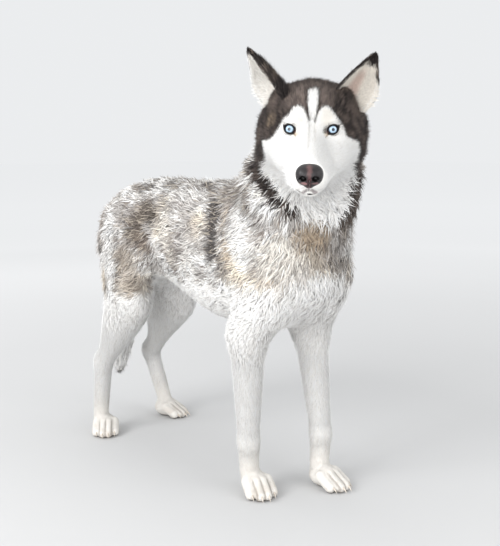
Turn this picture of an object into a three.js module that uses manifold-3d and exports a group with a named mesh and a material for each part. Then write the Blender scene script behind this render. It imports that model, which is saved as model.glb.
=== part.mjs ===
// A life-size Siberian husky, standing on all fours with its head turned to its right.
// Millimetres, +Z up. The dog faces -Y and its left side is +X. Every solid is the outside of the coat.
import * as THREE from "three";
import { mergeVertices } from "three/addons/utils/BufferGeometryUtils.js";
import Module from "manifold-3d";

const wasm = await Module();
wasm.setup();

// Driving dimensions.
const WITHERS = 572;
const CROUP = 560;
const CHEST_WIDTH = 214;
const CHEST_BOTTOM = 296;
const CHEST_FRONT = -338;
const BELLY_TUCK = 346;
const RUMP_BACK = 298;
const TAIL_TIP = 104;
const EYE_SPACING = 61;
const EYE_RADIUS = 11;
const GAP = 0.3;

// How far a form is carried on past a cut before it is trimmed there.
const MARGIN = 45;
const SMALL_MARGIN = 12;
const WALL_STEEP = MARGIN / SMALL_MARGIN;

// Where the joints of the legs are. The front turn and the hind turn are the ways the paws point.
const LEFT = {
  word: "left",
  side: 1,
  shoulder: [62, -286, 396],
  elbow: [72, -226, 294],
  wrist: [66, -262, 96],
  frontPaw: [61, -286, 0],
  frontTurn: 2,
  thighFront: 118,
  hip: [48, 200, 452],
  stifle: [80, 216, 290],
  hock: [84, 328, 146],
  hindPaw: [90, 262, 0],
  hindTurn: 24,
};
const RIGHT = {
  word: "right",
  side: -1,
  shoulder: [-64, -286, 396],
  elbow: [-76, -216, 294],
  wrist: [-67, -208, 96],
  frontPaw: [-62, -226, 0],
  frontTurn: -22,
  thighFront: 86,
  hip: [-48, 196, 452],
  stifle: [-80, 156, 312],
  hock: [-92, 254, 158],
  hindPaw: [-92, 250, 0],
  hindTurn: -34,
};
const SIDES = [LEFT, RIGHT];

// The head's own frame starts midway between the eyes, and its nose points along -Y.
const HEAD = {
  origin: [-126, -422, 654],
  yaw: -46,
  pitch: 20,
  roll: 0.8,
};

const X = new THREE.Vector3(1, 0, 0);
const Z = new THREE.Vector3(0, 0, 1);
const vec = (p) => new THREE.Vector3(...p);
const rad = THREE.MathUtils.degToRad;
const lerp = THREE.MathUtils.lerp;
const mirrored = (make) => [1, -1].map((side) => make(side));

function frameOf(origin, yaw, pitch = 0, roll = 0) {
  const turn = new THREE.Euler(rad(pitch), rad(roll), rad(yaw), "ZXY");
  const matrix = new THREE.Matrix4().makeRotationFromEuler(turn).setPosition(...origin);
  const inverse = matrix.clone().invert();
  return {
    matrix,
    out: (p) => (p.isVector3 ? p.clone() : vec(p)).applyMatrix4(matrix),
    into: (p) => p.clone().applyMatrix4(inverse),
    turned: (p) => vec(p).transformDirection(matrix),
  };
}
const head = frameOf(HEAD.origin, HEAD.yaw, HEAD.pitch, HEAD.roll);

// Forms, as functions that give the distance of a point from a surface, negative inside.

function ellipsoid(centre, radii, tilt = 0) {
  const c = Math.cos(rad(tilt));
  const s = Math.sin(rad(tilt));
  const [rx, ry, rz] = radii;
  return (p) => {
    const x = p.x - centre[0];
    const dy = p.y - centre[1];
    const dz = p.z - centre[2];
    const y = c * dy + s * dz;
    const z = c * dz - s * dy;
    const near = Math.hypot(x / rx, y / ry, z / rz);
    const slope = Math.hypot(x / rx ** 2, y / ry ** 2, z / rz ** 2);
    return slope < 1e-9 ? -Math.min(rx, ry, rz) : (near * (near - 1)) / slope;
  };
}

// A limb tapers from one ball to another. Across the body it is narrower, by the share flat.
function limb(from, fromRadius, to, toRadius, flat = 1) {
  const ax = from[0] / flat;
  const bx = to[0] / flat - ax;
  const by = to[1] - from[1];
  const bz = to[2] - from[2];
  const long = bx * bx + by * by + bz * bz;
  return (p) => {
    const x = p.x / flat - ax;
    const y = p.y - from[1];
    const z = p.z - from[2];
    const t = Math.min(1, Math.max(0, (x * bx + y * by + z * bz) / long));
    const away = Math.hypot(x - t * bx, y - t * by, z - t * bz);
    return (away - lerp(fromRadius, toRadius, t)) * Math.min(1, flat);
  };
}

function softMin(a, b, width) {
  const h = Math.max(width - Math.abs(a - b), 0) / width;
  return Math.min(a, b) - (h * h * width) / 4;
}

// Joins forms one after another, each with its own softness.
function fuse(...forms) {
  return (p) => forms.reduce((d, [form, soft]) => softMin(d, form(p), soft), 1e6);
}

// The trunk.

const ribTop = WITHERS - 14;
const ribMiddle = (ribTop + CHEST_BOTTOM) / 2;
const loinMiddle = (CROUP + BELLY_TUCK) / 2 + 2;
const trunk = fuse(
  [ellipsoid([0, -130, ribMiddle], [CHEST_WIDTH / 2, 200, (ribTop - CHEST_BOTTOM) / 2], -3), 1],
  [ellipsoid([0, CHEST_FRONT + 106, 420], [80, 106, 110]), 40],
  [ellipsoid([0, -205, WITHERS - 88], [62, 105, 88]), 40],
  [ellipsoid([0, 70, loinMiddle], [92, 150, (CROUP - BELLY_TUCK) / 2 - 4]), 60],
  [limb([0, 60, CROUP - 64], 60, [0, -150, WITHERS - 66], 64), 40],
  [ellipsoid([0, 165, CROUP - 92], [86, 112, 92], -14), 50],
  [ellipsoid([0, RUMP_BACK - 72, CROUP - 132], [72, 66, 88], -8), 40],
);

// The legs.

function foreLimb(at) {
  const pastern = [at.frontPaw[0], at.frontPaw[1] + 22, 40];
  return fuse(
    [ellipsoid([at.side * 67, -228, 424], [41, 68, 108], -18), 1],
    [limb(at.shoulder, 38, at.elbow, 34), 40],
    [limb(at.elbow, 33, at.wrist, 20), 30],
    [ellipsoid([at.elbow[0], at.elbow[1] + 18, at.elbow[2] + 12], [23, 28, 30]), 16],
    [limb(at.wrist, 20, pastern, 19), 12],
  );
}

function hindLimb(at) {
  const heel = [at.hindPaw[0], at.hindPaw[1] + 20, 36];
  const buttock = [at.side * 50, RUMP_BACK - 74, 400];
  const calf = [at.side * 74, lerp(at.stifle[1], at.hock[1], 0.6), 262];
  return fuse(
    [limb(at.hip, 84, at.stifle, 44, 0.64), 1],
    [limb(buttock, 70, calf, 38, 0.64), 50],
    [limb(at.stifle, 42, at.hock, 21, 0.84), 36],
    [ellipsoid([at.hock[0], at.hock[1] + 10, at.hock[2] + 8], [12, 14, 20]), 16],
    [limb(at.hock, 21, heel, 18, 0.92), 10],
  );
}

// A paw in its own frame: sole on the floor, four toes towards -Y.
function pawForm(width, length) {
  const toes = [-3, -1, 1, 3].map((place) => {
    const x = (place * width) / 8.6;
    const outer = Math.abs(place) === 3;
    const front = -0.42 * length + (outer ? 0.13 * length : 0);
    return [limb([x * 0.92, front + 26, 24], 11.5, [x, front, 9.5], 10.5), 4];
  });
  return fuse([ellipsoid([0, 8, 19], [width * 0.45, length * 0.36, 20.5]), 1], ...toes);
}
const PAWS = SIDES.flatMap((at) => [
  { name: `front_paw_${at.word}`, at, wide: 60, long: 88, spot: at.frontPaw, turn: at.frontTurn },
  { name: `hind_paw_${at.word}`, at, wide: 56, long: 84, spot: at.hindPaw, turn: at.hindTurn },
]);
for (const paw of PAWS) {
  paw.frame = frameOf(paw.spot, paw.turn);
  paw.form = pawForm(paw.wide, paw.long);
}
const pawFlesh = (p) => Math.min(...PAWS.map((paw) => paw.form(paw.frame.into(p))));

// The head, in its own frame.

const skull = fuse(
  [ellipsoid([0, 54, 6], [62, 60, 52]), 1],
  ...mirrored((s) => [ellipsoid([s * 42, 54, 28], [26, 30, 26]), 18]),
  [ellipsoid([0, 20, 22], [44, 34, 28]), 22],
  ...mirrored((s) => [ellipsoid([s * 26, 0, 17], [18, 14, 10]), 10]),
  ...mirrored((s) => [ellipsoid([s * 36, 6, -12], [20, 19, 13]), 14]),
  ...mirrored((s) => [ellipsoid([s * 47, 42, -20], [32, 42, 38]), 26]),
  ...mirrored((s) => [ellipsoid([s * 54, 74, -34], [37, 40, 52]), 30]),
  [limb([0, 4, -26], 33, [0, -72, -41], 23), 26],
  [limb([0, 6, -8], 16, [0, -70, -27], 12), 12],
  ...mirrored((s) => [limb([s * 12, -76, -50], 13, [s * 22, -10, -54], 20), 20]),
  ...mirrored((s) => [ellipsoid([s * 36, 16, -42], [24, 34, 26]), 24]),
  [limb([0, -66, -67], 12, [0, 16, -66], 28), 16],
  [ellipsoid([0, 56, -58], [54, 48, 46]), 30],
);

const NAPE = head.out([0, 94, -22]).toArray();
const neckFlesh = fuse(
  [limb([0, -232, 474], 98, [-22, -300, 566], 90, 0.94), 1],
  [limb([-22, -300, 566], 90, NAPE, 70), 40],
  [limb([0, -180, 506], 60, [-8, -262, 560], 66), 40],
  [ellipsoid([-6, -288, 470], [80, 64, 88], 20), 40],
);

const flesh = fuse(
  [trunk, 1],
  ...SIDES.map((at) => [foreLimb(at), 44]),
  ...SIDES.map((at) => [hindLimb(at), 44]),
  [pawFlesh, 10],
  [neckFlesh, 50],
  [(p) => skull(head.into(p)), 30],
);

// Where the coat is long, the solid core stays below the tips, and locks reach up to them.
const FADE = 40;
const longCoat = [
  { form: limb([0, -236, 462], 84, [-36, -318, 572], 62), depth: 15 },
  { form: ellipsoid([0, CHEST_FRONT + 100, 396], [78, 100, 84]), depth: 13 },
  ...SIDES.map((at) => ({
    form: limb([at.side * 50, 262, 432], 44, [at.side * 74, 276, 268], 24),
    depth: 12,
  })),
];
const coatDepth = (p) =>
  Math.max(...longCoat.map(({ form, depth }) => depth * THREE.MathUtils.clamp(1 - form(p) / FADE, 0, 1)));
const core = (p) => flesh(p) + coatDepth(p);

// Solids and their booleans.

function solid(geometry) {
  const bare = geometry.index ? geometry.toNonIndexed() : geometry.clone();
  bare.deleteAttribute("normal");
  bare.deleteAttribute("uv");
  const merged = mergeVertices(bare, 1e-3);
  return new wasm.Manifold(
    new wasm.Mesh({
      numProp: 3,
      vertProperties: new Float32Array(merged.attributes.position.array),
      triVerts: new Uint32Array(merged.index.array),
    }),
  );
}

const moved = (geometry, frame) => geometry.applyMatrix4(frame.matrix);

// The largest closed surface of a solid, without hollows that fusing has sealed.
const largest = (made) => made.decompose().reduce((a, b) => (b.volume() > a.volume() ? b : a));

// How far from an origin, along a direction, a form's surface is.
function reach(form, origin, direction, furthest = 400) {
  const at = (t) => form(origin.clone().addScaledVector(direction, t));
  let inside = 0;
  let outside = 0;
  while (outside < furthest) {
    const d = at(outside);
    if (d > 0) break;
    inside = outside;
    outside += Math.max(1.2, -0.6 * d);
  }
  for (let i = 0; i < 16; i++) {
    const middle = (inside + outside) / 2;
    if (at(middle) > 0) outside = middle;
    else inside = middle;
  }
  return outside;
}

// Joins rows of points, each row a ring, and two poles into one closed surface.
function ringSurface(rows, start, end) {
  const spokes = rows[0].length;
  const points = [...rows.flat(), start, end];
  const index = [];
  const at = (row, spoke) => row * spokes + (spoke % spokes);
  for (let k = 0; k < spokes; k++) {
    index.push(points.length - 2, at(0, k + 1), at(0, k));
    index.push(points.length - 1, at(rows.length - 1, k), at(rows.length - 1, k + 1));
    for (let i = 0; i + 1 < rows.length; i++) {
      index.push(at(i, k), at(i, k + 1), at(i + 1, k + 1));
      index.push(at(i, k), at(i + 1, k + 1), at(i + 1, k));
    }
  }
  return new THREE.BufferGeometry().setFromPoints(points).setIndex(index);
}

// Rows of rays, as [place along the axis, lean in degrees]: lean -90 looks back, 90 looks ahead.
function stations(count, place, lean) {
  return Array.from({ length: count }, (_, i) => {
    const t = count > 1 ? i / (count - 1) : 0;
    return [lerp(place[0], place[1], t), lerp(lean[0], lean[1], t)];
  });
}
const tube = (rings, back, front) => [
  ...stations(back, [0, 0], [(-90 * back) / (back + 1), -90 / (back + 1)]),
  ...stations(rings, [0, 1], [0, 0]),
  ...stations(front, [1, 1], [90 / (front + 1), (90 * front) / (front + 1)]),
];

// Wraps a form in rings of points, found along rays that leave an axis.
function wrap(form, axis, spokes, rows, across = X) {
  const found = (origin, direction) =>
    origin.clone().addScaledVector(direction, reach(form, origin, direction));
  const rings = rows.map(([t, lean]) => {
    const origin = axis.getPointAt(t);
    const along = axis.getTangentAt(t);
    const u = across.clone().addScaledVector(along, -across.dot(along)).normalize();
    const w = along.clone().cross(u);
    return Array.from({ length: spokes }, (_, k) => {
      const angle = (2 * Math.PI * k) / spokes;
      const direction = u
        .clone()
        .multiplyScalar(Math.cos(angle) * Math.cos(rad(lean)))
        .addScaledVector(w, Math.sin(angle) * Math.cos(rad(lean)))
        .addScaledVector(along, Math.sin(rad(lean)));
      return found(origin, direction);
    });
  });
  const pole = (t, sign) => found(axis.getPointAt(t), axis.getTangentAt(t).multiplyScalar(sign));
  return ringSurface(rings, pole(rows[0][0], -1), pole(rows.at(-1)[0], 1));
}

const line = (...points) =>
  new THREE.CatmullRomCurve3(points.map((p) => (p.isVector3 ? p : vec(p))));

// Locks of long hair.

let seed = 20;
function random(low = 0, high = 1) {
  seed = (seed + 0x6d2b79f5) | 0;
  let mixed = Math.imul(seed ^ (seed >>> 15), 1 | seed);
  mixed = (mixed + Math.imul(mixed ^ (mixed >>> 7), 61 | mixed)) ^ mixed;
  return lerp(low, high, ((mixed ^ (mixed >>> 14)) >>> 0) / 4294967296);
}

function normalOf(form, p) {
  const step = 0.5;
  const here = form(p);
  const slope = [0, 1, 2].map((k) => {
    const near = p.clone();
    near.setComponent(k, near.getComponent(k) + step);
    return (form(near) - here) / step;
  });
  return vec(slope);
}

// Moves a point to where a form has the given value.
function settle(form, point, level) {
  const p = point.clone();
  for (let i = 0; i < 4; i++) {
    const slope = normalOf(form, p);
    p.addScaledVector(slope, (level - form(p)) / Math.max(0.2, slope.lengthSq()));
  }
  return p;
}

const ROOT_SINK = 7;

// A lock: a flat, ridged blade. It leaves the core, follows the lie and ends in a point at the tips.
const LOCK_ROWS = [
  { t: 0, level: -ROOT_SINK, share: 0.3 },
  { t: 0.33, level: 0.14, share: 0.95 },
  { t: 0.64, level: 0.62, share: 0.85 },
];
function lock(form, root, lie, long, wide, depth) {
  const bend = random(-0.4, 0.4);
  const lift = random(0.8, 1.1);
  const normal = normalOf(form, root).normalize();
  const side = normal.clone().cross(lie).normalize();
  const ahead = side.clone().cross(normal).normalize();
  const along = (t, level) => {
    const aim = root.clone().addScaledVector(ahead, long * t).addScaledVector(side, bend * long * t * t);
    return settle(form, aim, level < 0 ? level : level * lift * depth);
  };
  const rows = LOCK_ROWS.map(({ t, level, share }) => {
    const at = along(t, level);
    const up = normalOf(form, at).normalize();
    const half = (wide * share) / 2;
    return [
      at.clone().addScaledVector(side, half),
      at.clone().addScaledVector(up, 0.24 * half + 1.2),
      at.clone().addScaledVector(side, -half),
    ];
  });
  return solid(ringSurface(rows, along(0, LOCK_ROWS[0].level), along(1, 1)));
}

// Locks spread over a part of a form's surface, closer side by side than one behind another.
function lockSet(form, { low, high, keep, lie, spacing, long, wide, depth = coatDepth }) {
  const roots = [];
  const tries = 700;
  for (let i = 0; i < tries; i++) {
    const start = vec(low.map((from, k) => random(from, high[k])));
    const root = settle(form, start, 0);
    const inBox = [0, 1, 2].every((k) => {
      const value = root.getComponent(k);
      return value > low[k] && value < high[k];
    });
    if (!inBox || Math.abs(form(root)) > 0.5) continue;
    const way = lie(root).normalize();
    const near = (other) => {
      const apart = other.clone().sub(root);
      const along = apart.dot(way);
      return Math.hypot(apart.addScaledVector(way, -along).length(), 0.55 * along) < spacing;
    };
    if (roots.some(near)) continue;
    if (keep(root, normalOf(form, root).normalize())) roots.push(root);
  }
  return roots.map((root) => {
    const size = random(0.8, 1.2);
    return lock(form, root, lie(root), long * size, wide * random(0.8, 1.2), Math.max(5, depth(root)));
  });
}

const fused = (made, locks) => (locks.length ? wasm.Manifold.union([made, ...locks]) : made);

// Cuts. Each has a form, negative on its own side, and a block that fills that side.

function halfSpace(point, away) {
  const normal = away.clone().normalize();
  const block = (grow) => {
    const size = 900;
    const box = new THREE.BoxGeometry(size, size, size);
    box.translate(0, 0, grow - size / 2);
    box.applyQuaternion(new THREE.Quaternion().setFromUnitVectors(Z, normal));
    return solid(box.translate(point.x, point.y, point.z));
  };
  return { form: (p) => p.clone().sub(point).dot(normal), block };
}

// A leg's share: outside a wall beside the midline, below a level, between two cross planes,
// and with one upper corner cut off by a slant.
function legShare(side, wall, [front, back], top, slant) {
  const below = -60;
  const wide = 200;
  const form = (p) =>
    Math.max(WALL_STEEP * (wall - side * p.x), front - p.y, p.y - back, p.z - top, slant.form(p));
  const block = (grow) => {
    const box = new THREE.BoxGeometry(wide, back - front + 2 * grow, top + grow - below);
    const middle = [side * (wall - grow + wide / 2), (front + back) / 2, (top + grow + below) / 2];
    return solid(box.translate(...middle)).intersect(slant.block(grow));
  };
  return { form, block };
}

for (const at of SIDES) {
  const behind = -152;
  const foreSlant = halfSpace(vec([0, behind, 322]), vec([0, 0.7, 0.7]));
  const hindSlant = halfSpace(vec([0, at.thighFront, 390]), vec([0, -0.6, 0.8]));
  at.foreShare = legShare(at.side, 30, [-460, behind], 374, foreSlant);
  at.hindShare = legShare(at.side, 26, [at.thighFront, 420], 486, hindSlant);
}
const neckCut = halfSpace(vec([0, -262, 494]), vec([-0.05, -0.76, 0.65]));
const headCut = halfSpace(head.out([0, 84, -22]), head.turned([0, 0.86, -0.51]));
const outside = (cut) => (p) => -cut.form(p);
const clipped = (form, ...limits) => (p) =>
  Math.max(form(p), ...limits.map((limit) => limit(p) - MARGIN));
const closelyClipped = (form, limit) => (p) => Math.max(form(p), limit(p) - SMALL_MARGIN);

// The body's pieces.

const legShares = SIDES.flatMap((at) => [at.foreShare, at.hindShare]);

// The trunk and the neck are wrapped together, so that they match where they are cut apart.
function bodyCore(grow = 0) {
  // Low down, where the legs leave the trunk, the trunk is carried on only a little way.
  const margin = (p) => THREE.MathUtils.clamp(0.5 * (p.z - 330), 8, MARGIN);
  const form = (p) =>
    Math.max(
      core(p) - grow,
      -headCut.form(p) - MARGIN,
      ...legShares.map((share) => -share.form(p) - margin(p)),
    );
  const spine = [[0, 196, 446], [0, 60, 462], [0, -70, 470], [0, -160, 484], [-6, -236, 518]];
  const axis = line(...spine, [-26, -312, 584], NAPE);
  const rows = [
    ...tube(1, 4, 0),
    ...stations(7, [0.05, 0.37], [0, 0]),
    ...stations(18, [0.41, 0.9], [0, 0]),
    [0.95, 0],
    ...stations(5, [1, 1], [0, 65]),
  ];
  return solid(wrap(form, axis, 28, rows));
}
const bodyClear = bodyCore(GAP);

// The hair lies down the throat and chest, and back along the sides.
function bodyLie(p) {
  const frontal = THREE.MathUtils.clamp((-240 - p.y) / 100, 0, 1);
  const low = THREE.MathUtils.clamp((420 - p.z) / 120, 0, 1) * (1 - frontal);
  return new THREE.Vector3(0, lerp(1, 0.2, frontal), lerp(lerp(-0.45, -0.2, low), -1, frontal));
}

function torso(whole) {
  const chest = lockSet(core, {
    low: [-110, -345, 290],
    high: [110, -150, 520],
    keep: (p) => coatDepth(p) > 5 && neckCut.form(p) < 6 && p.y < -170,
    lie: bodyLie,
    spacing: 27,
    long: 72,
    wide: 29,
  });
  const fringe = lockSet(core, {
    low: [-70, -120, 285],
    high: [70, 130, 380],
    keep: (p, normal) => normal.z < -0.35,
    lie: () => new THREE.Vector3(0, 1, -0.3),
    spacing: 30,
    long: 50,
    wide: 24,
  });
  const made = fused(whole, [...chest, ...fringe]).intersect(neckCut.block(-GAP / 2));
  return legShares.reduce((rest, share) => rest.subtract(share.block(GAP / 2)), made);
}

function neck(whole) {
  const ruff = lockSet(core, {
    low: [-170, -430, 380],
    high: [120, -120, 740],
    keep: (p) => neckCut.form(p) > -4 && headCut.form(p) > 14 && coatDepth(p) > 4,
    lie: bodyLie,
    spacing: 26,
    long: 76,
    wide: 29,
  });
  return fused(whole, ruff).subtract(neckCut.block(GAP / 2)).subtract(headCut.block(GAP / 2));
}

function leg(form, axis, share, spokes, rings, locks = []) {
  const whole = solid(wrap(clipped(form, share.form), axis, spokes, tube(rings, 3, 1)));
  return fused(whole, locks).intersect(share.block(-GAP / 2));
}

// Where a paw meets its leg.
for (const paw of PAWS) {
  const top = paw.frame.out([0, 20, 47]);
  const joint = paw.name.startsWith("front") ? paw.at.wrist : paw.at.hock;
  paw.cut = halfSpace(top, vec(joint).sub(top));
}
const pawOf = (name) => PAWS.find((paw) => paw.name === name);

function foreLeg(at) {
  const paw = pawOf(`front_paw_${at.word}`);
  const top = [at.side * 52, at.elbow[1] - 16, 372];
  const axis = line(top, at.elbow, at.wrist, paw.frame.out([0, 20, 50]));
  return leg(closelyClipped(core, outside(paw.cut)), axis, at.foreShare, 16, 14).subtract(
    paw.cut.block(GAP / 2),
  );
}

function hindLeg(at) {
  const paw = pawOf(`hind_paw_${at.word}`);
  const part = (t, behind) => vec(at.stifle).lerp(vec(at.hock), t).add(new THREE.Vector3(0, behind, 0));
  const top = [at.side * 42, 200, 424];
  const axis = line(top, part(-0.05, 42), part(0.55, 14), at.hock, paw.frame.out([0, 20, 50]));
  const locks = lockSet(core, {
    low: [at.side * 62 - 60, 190, 190],
    high: [at.side * 62 + 60, 330, 460],
    keep: (p, normal) => normal.y > 0.25 && at.side * p.x > 34,
    lie: () => new THREE.Vector3(0, 0.3, -1),
    spacing: 31,
    long: 76,
    wide: 30,
  });
  return leg(closelyClipped(core, outside(paw.cut)), axis, at.hindShare, 20, 17, locks).subtract(
    paw.cut.block(GAP / 2),
  );
}

function pawCore(paw, grow = 0) {
  const form = closelyClipped((p) => flesh(p) - grow, paw.cut.form);
  const inFrame = (q) => form(paw.frame.out(q));
  const axis = line([0, 22, 50], [0, 10, 24], [0, -14, 15], [0, -0.36 * paw.long, 12]);
  const rows = [[0, -45], ...stations(8, [0, 1], [0, 10]), [1, 38], [1, 65]];
  return solid(moved(wrap(inFrame, axis, 22, rows), paw.frame));
}
const floor = halfSpace(vec([0, 0, 0]), Z);
const pawSolid = (paw) =>
  pawCore(paw).intersect(paw.cut.block(-GAP / 2)).subtract(floor.block(0));

// Claws, one to a toe, each a short curved cone.
function claws(paw) {
  const clear = pawCore(paw, GAP);
  return [-3, -1, 1, 3].map((place, i) => {
    const x = (place * paw.wide) / 8.6;
    const outer = Math.abs(place) === 3;
    const y = -0.42 * paw.long + (outer ? 0.13 * paw.long : 0) - 4;
    const curve = line([x, y + 4, 11], [x, y - 7, 11.5], [x, y - 10, 8], [x, y - 12, 3.5]);
    const steps = 3;
    const rows = Array.from({ length: steps }, (_, n) => {
      const t = n / steps;
      const o = curve.getPointAt(t);
      const along = curve.getTangentAt(t);
      const w = along.clone().cross(X).normalize();
      const r = lerp(3.8, 1, t);
      return Array.from({ length: 5 }, (_, k) => {
        const a = (2 * Math.PI * k) / 5;
        return o.clone().addScaledVector(X, 0.75 * r * Math.cos(a)).addScaledVector(w, r * Math.sin(a));
      });
    });
    const cone = ringSurface(rows, curve.getPointAt(0), curve.getPointAt(1));
    const name = paw.name.replace("paw", "claw") + "_" + (i + 1);
    return [name, solid(moved(cone, paw.frame)).subtract(clear)];
  });
}

// The tail hangs straight down behind the legs and swells below its root. Rows: y, z, radius.
const TAIL = [
  [226, 508, 20],
  [280, 494, 23],
  [318, 440, 26],
  [330, 350, 33],
  [331, 260, 38],
  [332, 180, 34],
  [334, TAIL_TIP + 34, 21],
  [336, TAIL_TIP + 9, 9],
];
const TAIL_CORE = 0.72;
function tail() {
  const form = fuse(
    ...TAIL.slice(1).map(([y, z, r], i) => {
      const [fromY, fromZ, fromR] = TAIL[i];
      return [limb([0, fromY, fromZ], TAIL_CORE * fromR, [0, y, z], TAIL_CORE * r), 6];
    }),
  );
  const axis = line(...TAIL.map(([y, z]) => [0, y, z]));
  const locks = lockSet(form, {
    low: [-40, 280, TAIL_TIP + 20],
    high: [40, 372, 440],
    keep: () => true,
    lie: () => new THREE.Vector3(0, 0, -1),
    spacing: 27,
    long: 76,
    wide: 27,
    depth: () => 10,
  });
  return fused(solid(wrap(form, axis, 10, tube(11, 1, 1))), locks).subtract(bodyClear);
}

// The head's pieces, made in its own frame.

function headCore(grow = 0) {
  const clip = clipped((p) => core(p) - grow, headCut.form);
  const inFrame = (q) => clip(head.out(q));
  const axis = line([0, 80, -16], [0, 26, -18], [0, -30, -34], [0, -78, -46]);
  const rows = [
    [0, -50],
    ...stations(4, [0, 0.28], [-20, 0]),
    ...stations(7, [0.36, 0.36], [8, 56]),
    ...stations(5, [0.46, 0.9], [52, 18]),
    ...stations(4, [1, 1], [12, 68]),
  ];
  return solid(wrap(inFrame, axis, 30, rows));
}

// An eyeball, or the room for one, flat behind.
function ball(centre, radius) {
  const outline = [new THREE.Vector2(0, -radius * 0.5)];
  const start = rad(-30);
  const steps = 5;
  for (let i = 0; i < steps; i++) {
    const a = lerp(start, Math.PI / 2, i / steps);
    outline.push(new THREE.Vector2(radius * Math.cos(a), radius * Math.sin(a)));
  }
  outline.push(new THREE.Vector2(0, radius));
  const turned = new THREE.LatheGeometry(outline, 14);
  return solid(turned.rotateX(rad(180 + 18)).rotateZ(rad(Math.sign(centre[0]) * 13)).translate(...centre));
}

function eyeCentre(side) {
  return [(side * EYE_SPACING) / 2, -2, 2];
}

// The almond between the lids, looking ahead and a little outwards, its outer corner higher.
function lidOpening(side) {
  const half = 10.4;
  const rise = 6;
  const almond = new THREE.Shape();
  almond.moveTo(-half, 0);
  almond.quadraticCurveTo(-0.1 * half, 2 * rise, half, 0);
  almond.quadraticCurveTo(0.2 * half, -1.7 * rise, -half, 0);
  const bar = new THREE.ExtrudeGeometry(almond, { depth: 30, bevelEnabled: false, curveSegments: 5 });
  // Its own +Z becomes the way the eye looks.
  bar.rotateZ(rad(side * 17)).rotateX(rad(90 - 18)).rotateZ(rad(side * 13));
  return solid(bar.translate(...eyeCentre(side)));
}

function nose() {
  const form = fuse(
    [ellipsoid([0, -86, -34], [19, 17, 13], 8), 1],
    ...mirrored((s) => [ellipsoid([s * 9.6, -90, -38], [9.8, 12, 13]), 6]),
    [ellipsoid([0, -89, -46], [9, 12, 11]), 6],
  );
  const axis = line([0, -78, -35], [0, -91, -38]);
  const rows = [[0, -50], [0, 0], [0.5, 5], [1, 15], [1, 34], [1, 52], [1, 70]];
  return solid(wrap(form, axis, 16, rows));
}

function nostril(side) {
  const hole = new THREE.SphereGeometry(1, 8, 6).scale(4.4, 6, 3.8).translate(side * 8.4, -104, -39);
  const slit = new THREE.SphereGeometry(1, 6, 5).scale(7, 5, 1.8).rotateY(rad(side * -28));
  return solid(hole).add(solid(slit.translate(side * 14, -100, -42)));
}

// The line of the mouth: a groove from one corner, round the front, to the other.
function mouth() {
  const form = (q) => flesh(head.out(q));
  const steps = 9;
  const half = Array.from({ length: steps }, (_, i) => {
    const t = i / (steps - 1);
    const turn = rad(Math.min(90, 200 * t));
    const y = lerp(-70, -28, Math.max(0, (t - 0.45) / 0.55));
    const z = -61 - 6 * Math.sin(Math.PI * t) + 7 * t * t;
    const from = new THREE.Vector3(0, y, z);
    const way = new THREE.Vector3(Math.sin(turn), -Math.cos(turn), -0.1);
    return { point: from.addScaledVector(way, reach(form, from, way)), way };
  });
  const mirror = ({ point, way }) => ({
    point: point.clone().setX(-point.x),
    way: way.clone().setX(-way.x),
  });
  const path = [...half.slice(1).reverse().map(mirror), ...half];
  const rows = path.map(({ point, way }, i) => {
    const size = i === 0 || i === path.length - 1 ? 0.6 : 1;
    const corners = [[0, 1.5], [4.5, 0], [0, -1.5], [-4.5, 0]];
    return corners.map(([out, up]) =>
      point
        .clone()
        .addScaledVector(way, size * out)
        .addScaledVector(Z, size * up),
    );
  });
  const ends = [path[0].point, path.at(-1).point].map((p) => p.clone().add(new THREE.Vector3(0, 5, 1)));
  return solid(ringSurface(rows, ends[0], ends[1]));
}

// An ear is a pointed cup: each section a crescent, open towards one side.
function ear(side) {
  const opening = side > 0 ? [0.3, -0.95, 0] : [-0.77, -0.64, 0];
  const root = vec([side * 52, 49, 10]);
  const tip = vec(side > 0 ? [94, 46, 106] : [-99, 46, 113]);
  const along = tip.clone().sub(root).normalize();
  const open = vec(opening);
  open.addScaledVector(along, -open.dot(along)).normalize();
  const across = open.clone().cross(along).normalize();
  const curl = rad(66);
  const halfWidths = [29, 34, 36, 35, 31, 25.5, 19, 12.5, 6.5];
  const rows = halfWidths.map((half, n) => {
    const t = n / (halfWidths.length - 0.6);
    const radius = half / Math.sin(curl);
    const wall = lerp(5, 2.6, t);
    const centre = root.clone().lerp(tip, t);
    // The outer edge of an ear starts lower on the head than its inner edge.
    const arc = (r, angle) =>
      centre
        .clone()
        .addScaledVector(across, r * Math.sin(angle))
        .addScaledVector(along, -side * 0.42 * (1 - t) * r * Math.sin(angle))
        .addScaledVector(open, radius * Math.cos(curl) - r * Math.cos(angle));
    const outer = Array.from({ length: 9 }, (_, k) => arc(radius, curl * (k / 4 - 1)));
    const inner = Array.from({ length: 7 }, (_, k) => arc(radius - wall, curl * (0.75 - k / 4)));
    return [...outer, ...inner];
  });
  return ringSurface(rows, root.clone(), tip);
}

const husky = new THREE.Group();
const GREY = { color: 0xb3aca5, roughness: 0.9, metalness: 0 };
const WHITE = { color: 0xe9e5de, roughness: 0.9, metalness: 0 };
const DARK = { color: 0x3b3431, roughness: 0.9, metalness: 0 };
const CLAW = { color: 0xd9cfc0, roughness: 0.5, metalness: 0 };
const ICE = { color: 0xa9cde6, roughness: 0.1, metalness: 0 };
const LEATHER = { color: 0x4a3f40, roughness: 0.5, metalness: 0 };
function addNode(name, made, look) {
  const { vertProperties, triVerts } = largest(made).getMesh();
  const geometry = new THREE.BufferGeometry()
    .setAttribute("position", new THREE.BufferAttribute(vertProperties, 3))
    .setIndex(new THREE.BufferAttribute(triVerts, 1));
  const mesh = new THREE.Mesh(geometry, new THREE.MeshStandardMaterial(look));
  mesh.name = name;
  husky.add(mesh);
}
const toWorld = (made) => made.transform(Array.from(head.matrix.elements));

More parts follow.
